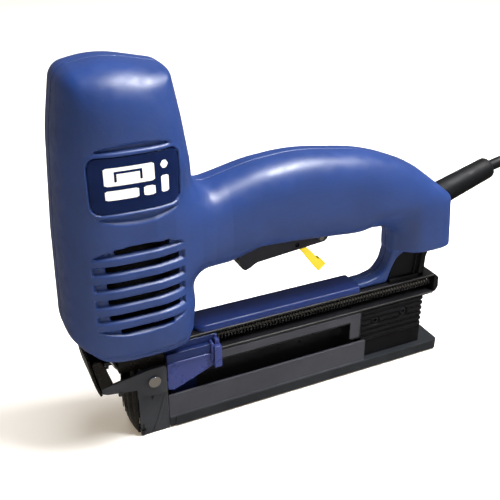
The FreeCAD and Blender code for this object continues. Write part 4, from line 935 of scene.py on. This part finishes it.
def door():
    """Front plate of the nose, bulged, with flutes down its face."""
    levels = [(2.4, 0.2), (3.2, -0.3), (6.0, -1.3), (12.0, -2.3), (20.0, -3.0), (28.0, -3.0), (33.4, -2.9)]
    count = 48
    rings = []
    for height, front in levels:
        half = 10.4 if height < 9 else 12.2
        ring = []
        for k in range(count + 1):
            y = -half + 2 * half * k / count
            bulge = (1 - (abs(y) / 12.9) ** 2.4) * (2.3 - front)
            flute = sum(0.55 * math.exp(-(((y - c) / 1.1) ** 2)) for c in (-9.0, -4.5, 0.0, 4.5, 9.0))
            ring.append(at(2.3 - max(0.35, bulge - flute * min(1.0, (height - 2.0) / 8.0)), y, height))
        ring += [at(2.3, half, height), at(2.3, -half, height)]
        rings.append(ring)
    arm = ((1.4, 1.6), (4.0, 1.4, 1.0), (6.6, 2.4, 1.5), (6.6, 5.6, 2.0), (4.0, 6.8, 1.5), (1.4, 6.4))
    arms = plates("arms", (arm, -10.3, -8.4), (arm, 8.4, 10.3))
    plate = join("nose_door", [loft("door_plate", rings), arms])
    put(soften(plate, 0.3, 2, 45), "nose_door", "black_steel", "nose_door")
    line = rect((-3.1, -2.7), (13.0, 32.4))
    ribs = plates("door_ribs", (line, -2.7, -1.7), (line, 1.7, 2.7))
    put(soften(ribs, 0.15, 2), "nose_door", "black_steel")


def lever():
    """Release lever: two ears on the rivet and a tongue that curls up in front of the head."""
    ear = ((-17.6, 41.6, 0.8), (-17.3, 38.2, 0.6), (-14.6, 36.9, 0.8), (1.9, 34.3, 0.5), (1.9, 27.6, 0.8),
           (19.3, 28.8, 1.0), (19.3, 45.4, 2.4), (17.4, 46.3, 1.0), (8.0, 45.9, 4.0))
    tab = ((-8.6, 33.6, 0.4), (-6.6, 33.4, 0.4), (-6.3, 37.0), (-8.4, 37.0))
    shapes = [(shape, *sided(side, 12.95, 14.4)) for side in (-1, 1) for shape in (ear, tab)]
    ears = plates("release_lever_ears", *shapes)
    put(soften(ears, 0.3, 2), "release_lever", "ear_steel", slot="dark_steel")
    far_cheek = ((-21.4, 59.4, 2.0), (-17.0, 38.6), (2.0, 36.6), (2.0, 46.0, 2.0), (-4.0, 59.4, 4.0))
    near_cheek = ((-21.4, 59.4, 2.0), (-17.2, 39.0), (-11.6, 40.6), (-12.8, 49.0, 6.0), (-16.0, 59.4, 3.0))
    floor_plate = ((-17.4, 37.6), (-9.6, 37.9), (-9.6, 39.1), (-17.4, 38.9))
    cheeks = plates("release_lever_cheeks", (far_cheek, 12.95, 14.3), (near_cheek, -14.3, -13.0),
                    (floor_plate, -13.2, 13.2))
    put(soften(cheeks, 0.3, 2), "release_lever", "black_steel", slot="dark_steel")
    path = ((-17.0, 37.4), (-18.2, 40.6), (-19.4, 45.0), (-20.2, 49.5), (-20.8, 54.0), (-21.2, 57.0),
            (-21.5, 59.6))
    thick, half_width, narrowing = 1.4, 14.4, 1.6
    rings = []
    for i, (x, z) in enumerate(path):
        before, after = path[max(0, i - 1)], path[min(len(path) - 1, i + 1)]
        way = Vector((after[0] - before[0], after[1] - before[1])).normalized()
        across = Vector((-way[1], way[0])) * thick
        half = half_width - narrowing * max(0, i - len(path) + 3)
        rings.append([at(x, -half, z), at(x, half, z), at(x + across[0], half, z + across[1]),
                      at(x + across[0], -half, z + across[1])])
    tongue = loft("release_lever_tongue", rings)
    put(soften(tongue, 0.35, 2, 50), "release_lever", "black_steel", "release_lever", slot="dark_steel")


def clip():
    """Bright bent spring strip that holds the release lever."""
    path = ((-10.6, 53.6), (-9.4, 51.0), (-7.8, 47.2), (-6.9, 45.9), (-6.2, 46.2), (-6.0, 47.4),
            (-6.0, 50.0))
    rings = []
    for x, z in path:
        rings.append([at(x, -6.2, z), at(x, 3.4, z), at(x + 0.9, 3.4, z + 0.1), at(x + 0.9, -6.2, z + 0.1)])
    put(soften(loft("latch_spring", rings), 0.15, 2, 60), "body", "bright_spring", "latch_spring")


# ---------------------------------------------------------------- trigger
def trigger():
    outline = ((66.9, 96.4, 0.8), (68.8, 91.2, 1.0), (70.8, 89.5, 1.2), (73.6, 90.4, 1.5),
               (78.0, 93.0, 4.0), (98.6, 95.0, 30.0), (121.4, 97.2, 1.0), (123.4, 99.0, 1.0),
               (123.3, 104.0), (100.0, 107.4), (76.0, 107.0), (69.0, 104.0))
    thing = prism("trigger", outline, -6.5, 6.5, steps=6)
    thing = carve(thing, block("slot", (98.0, 125.0), (-2.4, 2.4), (86.0, 104.0)),
                  turned("eye", at(103.3, -7.0, 98.5), (0, 1, 0), ((0, 1.5), (14.0, 1.5)), 20))
    put(soften(thing, 0.7, 3), "trigger", "trigger_grey", "trigger")
    profile = ((0, 0.8), (0.2, 1.0), (12.0, 1.0), (12.2, 0.8))
    pin = turned("safety_pin", at(103.3, -6.1, 98.5), (0, 1, 0), profile, 16)
    put(soften(pin, 0.1, 1), "trigger", "black_plastic", "safety_pin", slot="zinc_steel")
    shape = ((101.0, 98.4, 0.8), (101.8, 101.0, 0.8), (105.0, 101.2, 0.8), (108.4, 98.0, 2.0),
             (112.6, 92.6, 2.0), (116.4, 88.8, 3.0), (120.0, 83.9, 0.4), (121.5, 84.3, 0.8),
             (126.0, 79.2, 0.9), (121.3, 74.9, 0.9), (116.9, 80.6, 2.0), (112.2, 87.2, 4.0),
             (106.6, 94.0, 3.0), (102.0, 96.0))
    safety = carve(prism("safety_lever", shape, -2.0, 2.0, steps=5),
                   turned("eye", at(103.3, -3.0, 98.5), (0, 1, 0), ((0, 1.08), (6.0, 1.08)), 20))
    put(soften(safety, 0.45, 3), "safety_lever", "yellow_plastic", "safety_lever")
    spring = helix("trigger_spring", at(78.0, 0.0, 107.6), "Z", 10.0, 2.2, 0.35, 6.0)
    put(spring, "body", "spring_steel", "trigger_spring")
    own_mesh(spring)


# ---------------------------------------------------------------- tray
def grip_block():
    """Moulded block with wavy ribs round its sides and rear."""
    low, top = 20.2, 43.7
    rings = []
    rows = 66
    for k in range(rows + 1):
        height = low + (top - low) * k / rows
        wave = 0.5 - 0.5 * math.cos(math.tau * (height - low) / (top - low) * 6)
        proud = 0.95 * wave ** 0.7
        end = min(height - low, top - height)
        tuck = 0.5 * max(0.0, 1 - end / 0.8) ** 2
        side, rear = 9.4 + proud - tuck, 196.2 + proud - tuck
        outline = rounded(((149.7, -side), (rear, -side, 3.2), (rear, side, 3.2), (149.7, side)), 8)
        rings.append([at(p[0], p[1], height) for p in outline])
    thing = loft("grip_block", rings)
    places = [(x, z, side) for x, z in ((159.6, 34.4), (180.8, 35.6)) for side in (-1, 1)]
    well = ((-0.5, 3.5), (1.0, 3.5), (1.9, 2.7))
    wells = [turned("well", at(x, side * 10.6, z), (0, -side, 0), well, 28) for x, z, side in places]
    shade_smooth(thing)
    carve(thing, *wells)
    put(soften(thing, 0.2, 1, 55), "tray", "black_plastic", "grip_block")
    profile = ((0, 1.4), (0.4, 2.6), (1.6, 2.6), (2.2, 2.2), (2.4, 1.3), (1.3, 1.2), (1.2, 0.2))
    heads = [turned("head", at(x, side * 7.4, z), (0, side, 0), profile, 24) for x, z, side in places]
    put(soften(join("grip_screws", heads), 0.1, 2, 60), "tray", "dark_steel", "grip_screws")


def tray():
    half, inner, foot_rear, plate_rear = 12.8, 12.1, 210.0, 152.0
    outline = ((20.4, -half), (foot_rear, -half, 3.0), (foot_rear, half, 3.0), (20.4, half))
    heel = ((19.0, -14.0), (24.0, -14.0), (24.0, -12.3), (19.0, -12.3))
    pad = ((186.0, -11.8, 1.0), (207.0, -11.8, 2.5), (207.0, 11.8, 2.5), (186.0, 11.8, 1.0))
    foot = prism("tray_foot", outline, 0.8, 7.5, "plan", 6)
    foot = carve(foot, block("well", (19.0, plate_rear), (-inner, inner), (1.6, 9.0)),
                 prism("heel", heel, -1, 9, "plan"))
    foot = carve(foot, prism("pad", pad, 0.0, 1.2, "plan"), operation="UNION")
    put(soften(foot, 0.5, 3), "tray", "foot_grey", "tray_foot", slot="grey_foot")
    pedestal = block("grip_pedestal", (152.5, 197.0), (-8.4, 8.4), (7.45, 20.2))
    put(soften(pedestal, 0.3, 2), "tray", "black_plastic")
    fence = ((20.15, 1.7), (plate_rear, 1.7), (plate_rear, 22.8, 0.8), (20.15, 22.8, 0.5))
    strip = rect((20.3, plate_rear + 0.3), (6.6, 8.2))
    floor_plate = block("floor_plate", (21.0, plate_rear), (-12.0, 12.0), (1.7, 3.1))
    fences = plates("fences", *((fence, *sided(side, 10.6, 12.05)) for side in (-1, 1)))
    strips = plates("strips", *((strip, *sided(side, 12.0, 12.35)) for side in (-1, 1)))
    channel = join("tray_channel", [fences, floor_plate, strips])
    put(soften(channel, 0.28, 2), "tray", "plate_grey", "tray_channel", slot="grey_steel")
    core = prism("staple_core", ((6.2, 8.0), (149.6, 8.0), (149.6, 33.5), (6.2, 33.5, 0.6)), -2.2, 2.2)
    put(soften(core, 0.3, 2), "tray", "dark_steel", "staple_core")
    grip_block()


# ---------------------------------------------------------------- small parts on the far side and inside
def screws():
    """Housing screws with a cross recess, seen in their wells on the far side."""
    head_profile = ((0, 1.5), (0.05, 3.0), (1.2, 3.1), (2.2, 2.6), (2.6, 1.4), (2.65, 0.2))
    heads = []
    for x, z in SCREW_PLACES:
        cross = [prism("cross", rect((x - a, x + a), (z - b, z + b)), 12.2, 14.5) for a,
                 b in ((1.7, 0.35), (0.35, 1.7))]
        heads.append(carve(turned("head", at(x, WELL_FLOOR, z), (0, 1, 0), head_profile, 24), *cross))
        heads.append(turned("shaft", at(x, -9.0, z), (0, 1, 0), ((0, 0.5), (1.5, 1.4), (20.1, 1.4)), 12))
    put(soften(join("housing_screws", heads), 0.08, 1), "body", "zinc_steel", "housing_screws")


# The coil winding's near-black finish is painted shade for the housing's dark inside behind the vents.
INSIDE = {
    "solenoid_frame": "laminated_steel", "coil_bobbin": "black_plastic", "coil_winding": "painted_shade_coil",
    "plunger": "laminated_steel", "driver_blade": "blade_steel", "blade_pin": "zinc_steel",
    "bumper": "black_rubber", "top_buffer": "black_rubber", "circuit_board": "board_green",
    "trigger_switch": "black_plastic", "terminal_block": "bobbin_plastic", "internal_leads": "cord_rubber",
    "trigger_pin": "zinc_steel", "door_pins": "zinc_steel",
}


def inside():
    for node, shade in INSIDE.items():
        NODES[node].data.materials.clear()
        NODES[node].data.materials.append(SHADERS[shade])
    low, high = 80.8, 117.2
    spring = helix("return_spring", at(4.0, 0.0, low), "Z", high - low, 6.6, 0.65, 8.0, 8, 20)
    put(spring, "body", "spring_steel", "return_spring")
    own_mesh(spring)


# ---------------------------------------------------------------- cord
CORD_DIAMETER = 0.007
EXIT = (0.15285, 0.0, 0.12096)
# The free run from the strain relief down to the hank, in metres in the row frame.
FREE_RUN = (
    EXIT, (0.166, 0.0, 0.1242), (0.187, -0.0005, 0.1263), (0.212, -0.002, 0.1195), (0.231, -0.0065, 0.099),
    (0.2367, -0.0142, 0.0721), (0.2426, -0.0262, 0.0441), (0.2535, -0.0383, 0.0232),
    (0.2764, -0.0409, 0.0079), (0.298, -0.0392, 0.0035), (0.313, -0.0392, 0.0035),
)
HANK_MIDDLE_Y = -0.004
HANK_LEFT, HANK_RIGHT = 0.239, 0.335
CROSSOVER_END = 0.275
# Each turn's radius and height; it shifts to the next one between the left bend and the crossover's end.
TURNS = ((0.0352, 0.0035), (0.0281, 0.0035), (0.0210, 0.0035), (0.0210, 0.0106), (0.0281, 0.0106))
LAST_HEIGHT = 0.0177
# Over the top of the hank to the last bend, which turns into the plug.
TO_PLUG = ((0.252, -0.0316, 0.0177), (0.270, -0.0310, 0.0177), (0.290, -0.0304, 0.0177),
           (0.308, -0.0301, 0.0177), (0.326, -0.0300, 0.0178))
PLUG_BEND = (0.347, -0.009, 0.021)
PLUG_Y, PLUG_HEIGHT = 0.012, 0.02125
CORD_END = 0.334
BEND_STEPS = 8


def bend(middle_x, middle_y, radius, start, heights):
    """Points of a half turn: they stand off the circle so that the curve between them follows it."""
    points = []
    step = math.pi / BEND_STEPS
    stand_off = radius * math.tan(step / 2)
    for k in range(-1, BEND_STEPS + 1):
        share = (k + 1) / (BEND_STEPS + 1)
        height = heights[0] + (heights[1] - heights[0]) * share * share * (3 - 2 * share)
        if k in (-1, BEND_STEPS):
            angle = math.radians(start) + (math.pi if k > 0 else 0.0)
            slide = stand_off if k > 0 else -stand_off
            x = middle_x + radius * math.cos(angle) - slide * math.sin(angle)
            y = middle_y + radius * math.sin(angle) + slide * math.cos(angle)
        else:
            angle = math.radians(start) + (k + 0.5) * step
            x = middle_x + math.hypot(radius, stand_off) * math.cos(angle)
            y = middle_y + math.hypot(radius, stand_off) * math.sin(angle)
        points.append((x, y, height))
    return points


def hank_turns():
    points = []
    for k, (radius, height) in enumerate(TURNS):
        near, far = HANK_MIDDLE_Y - radius, HANK_MIDDLE_Y + radius
        if k:
            points += [(x, near, height) for x in (0.282, 0.297, 0.313)]
        points += bend(HANK_RIGHT, HANK_MIDDLE_Y, radius, -90, (height, height))
        points += [(x, far, height) for x in (0.314, 0.299, 0.285, 0.271, 0.256)]
        last = k == len(TURNS) - 1
        points += bend(HANK_LEFT, HANK_MIDDLE_Y, radius, 90, (height, LAST_HEIGHT if last else height))
        if last:
            continue
        next_radius, next_height = TURNS[k + 1]
        for x in (0.250, 0.260, 0.270):
            share = (x - HANK_LEFT) / (CROSSOVER_END - HANK_LEFT)
            eased = share * share * (3 - 2 * share)
            dodge = 0.0033 * math.sin(math.pi * share) if next_height > height else 0.0
            y = near + (radius - next_radius) * eased + dodge
            points.append((x, y, height + (next_height - height) * eased))
    return points


def cord():
    points = [*FREE_RUN, *hank_turns(), *TO_PLUG]
    x, y, radius = PLUG_BEND
    points += bend(x, y, radius, -90, (0.0178, PLUG_HEIGHT))
    points.append((CORD_END, PLUG_Y, PLUG_HEIGHT))
    data = bpy.data.curves.new("mains_cord", "CURVE")
    data.dimensions = "3D"
    spline = data.splines.new("NURBS")
    spline.points.add(len(points) - 1)
    for point, place in zip(spline.points, points):
        point.co = (*place, 1.0)
    spline.order_u = 3
    spline.use_endpoint_u = True
    data.bevel_depth = CORD_DIAMETER / 2
    data.bevel_resolution = 4
    data.resolution_u = 6
    data.use_fill_caps = True
    thing = bpy.data.objects.new("mains_cord", data)
    bpy.context.scene.collection.objects.link(thing)
    data.materials.append(SHADERS["cord_rubber"])
    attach(thing, "body")
    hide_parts("mains_cord", "cord_coil")
    return thing


def strain_relief():
    """Tapered rubber sleeve with a rounded lip at its end."""
    way = Vector((math.cos(RELIEF_RISE), 0, math.sin(RELIEF_RISE)))
    profile = ((0, 4.0), (0.2, 7.6), (2.0, 7.7), (12.0, 7.55), (30.0, 7.15), (41.0, 6.95), (43.6, 6.8),
               (44.7, 6.1), (45.0, 5.0), (44.6, 3.8))
    sleeve = shade_smooth(turned("strain_relief", at(RELIEF_BACK, 0, RELIEF_UP), way, profile, 40))
    return put(sleeve, "body", "cord_rubber", "strain_relief")


def plug():
    """Flat two-pin plug with a ribbed neck."""
    middle = PLUG_HEIGHT / MM
    y = PLUG_Y / MM
    outline = ((380.0, y - 9.0, 2.0), (380.0, y + 9.0, 2.0), (392.0, y + 12.8, 6.0), (402.0, y + 12.0, 8.0),
               (414.0, y + 7.4, 4.0), (414.0, y - 7.4, 4.0), (402.0, y - 12.0, 8.0), (392.0, y - 12.8, 6.0))
    body = prism("plug_body", outline, middle - 6.9, middle + 6.9, "plan", 6)
    neck = []
    for k in range(5):
        start = 4.2 * k
        radius = 6.0 - 0.3 * k
        neck += [(start, radius), (start + 2.6, radius - 0.1), (start + 2.8, radius - 0.9),
                 (start + 4.0, radius - 0.9)]
    sleeve = turned("neck", at(413.0, y, middle), (1, 0, 0), neck, 24)
    shell = soften(join("plug_body_shell", [body, sleeve]), 1.2, 3, 40)
    put(shell, "body", "black_plastic", "mains_plug")
    profile = ((0, 0.8), (0.5, 1.6), (1.4, 2.0), (19.5, 2.0))
    pins = [turned("pin", at(361.0, y + side * 8.6, middle), (1, 0, 0), profile, 20) for side in (-1, 1)]
    pin_piece = put(soften(join("plug_pins", pins), 0.1, 1), "body", "zinc_steel", slot="black_plastic")
    return [shell, pin_piece]


def tie():
    """Woven strap round the hank's waist."""
    outline = ((-44.2, 0.05, 1.5), (35.2, 0.05, 1.5), (35.2, 14.9, 3.0), (-18.0, 14.9, 6.0),
               (-27.0, 21.6, 3.5), (-36.0, 21.6, 4.0), (-44.2, 13.5, 4.0))
    outer = rounded(outline, 6)
    middle = Vector((-4.0, 8.0))
    inner = [p + (middle - p).normalized() * 0.75 for p in outer]
    rings = []
    for x, shape in ((366.0, outer), (376.0, outer), (376.0, inner), (366.0, inner)):
        rings.append([at(x, p[0], p[1]) for p in shape])
    strap = loft("cord_tie", rings, closed=True)
    put(soften(strap, 0.2, 2, 50), "body", "tie_grey", "cord_tie")
    return strap


# ---------------------------------------------------------------- floor
def floor():
    thing = mesh_piece("floor", [(-4, -4, 0), (4, -4, 0), (4, 4, 0), (-4, 4, 0)], [(0, 1, 2, 3)])
    thing.location.z = -0.0002
    thing.data.materials.append(SHADERS["pale_floor"])
    thing.visible_glossy = False


camera()
studio()
make_finishes()
floor()
wire = cord()
sleeve = strain_relief()
ends = plug()
strap = tie()
housing()
badge()
rail()
rail_cover()
bracket()
pusher()
nose()
door()
lever()
clip()
trigger()
tray()
screws()
inside()
bpy.context.view_layer.update()
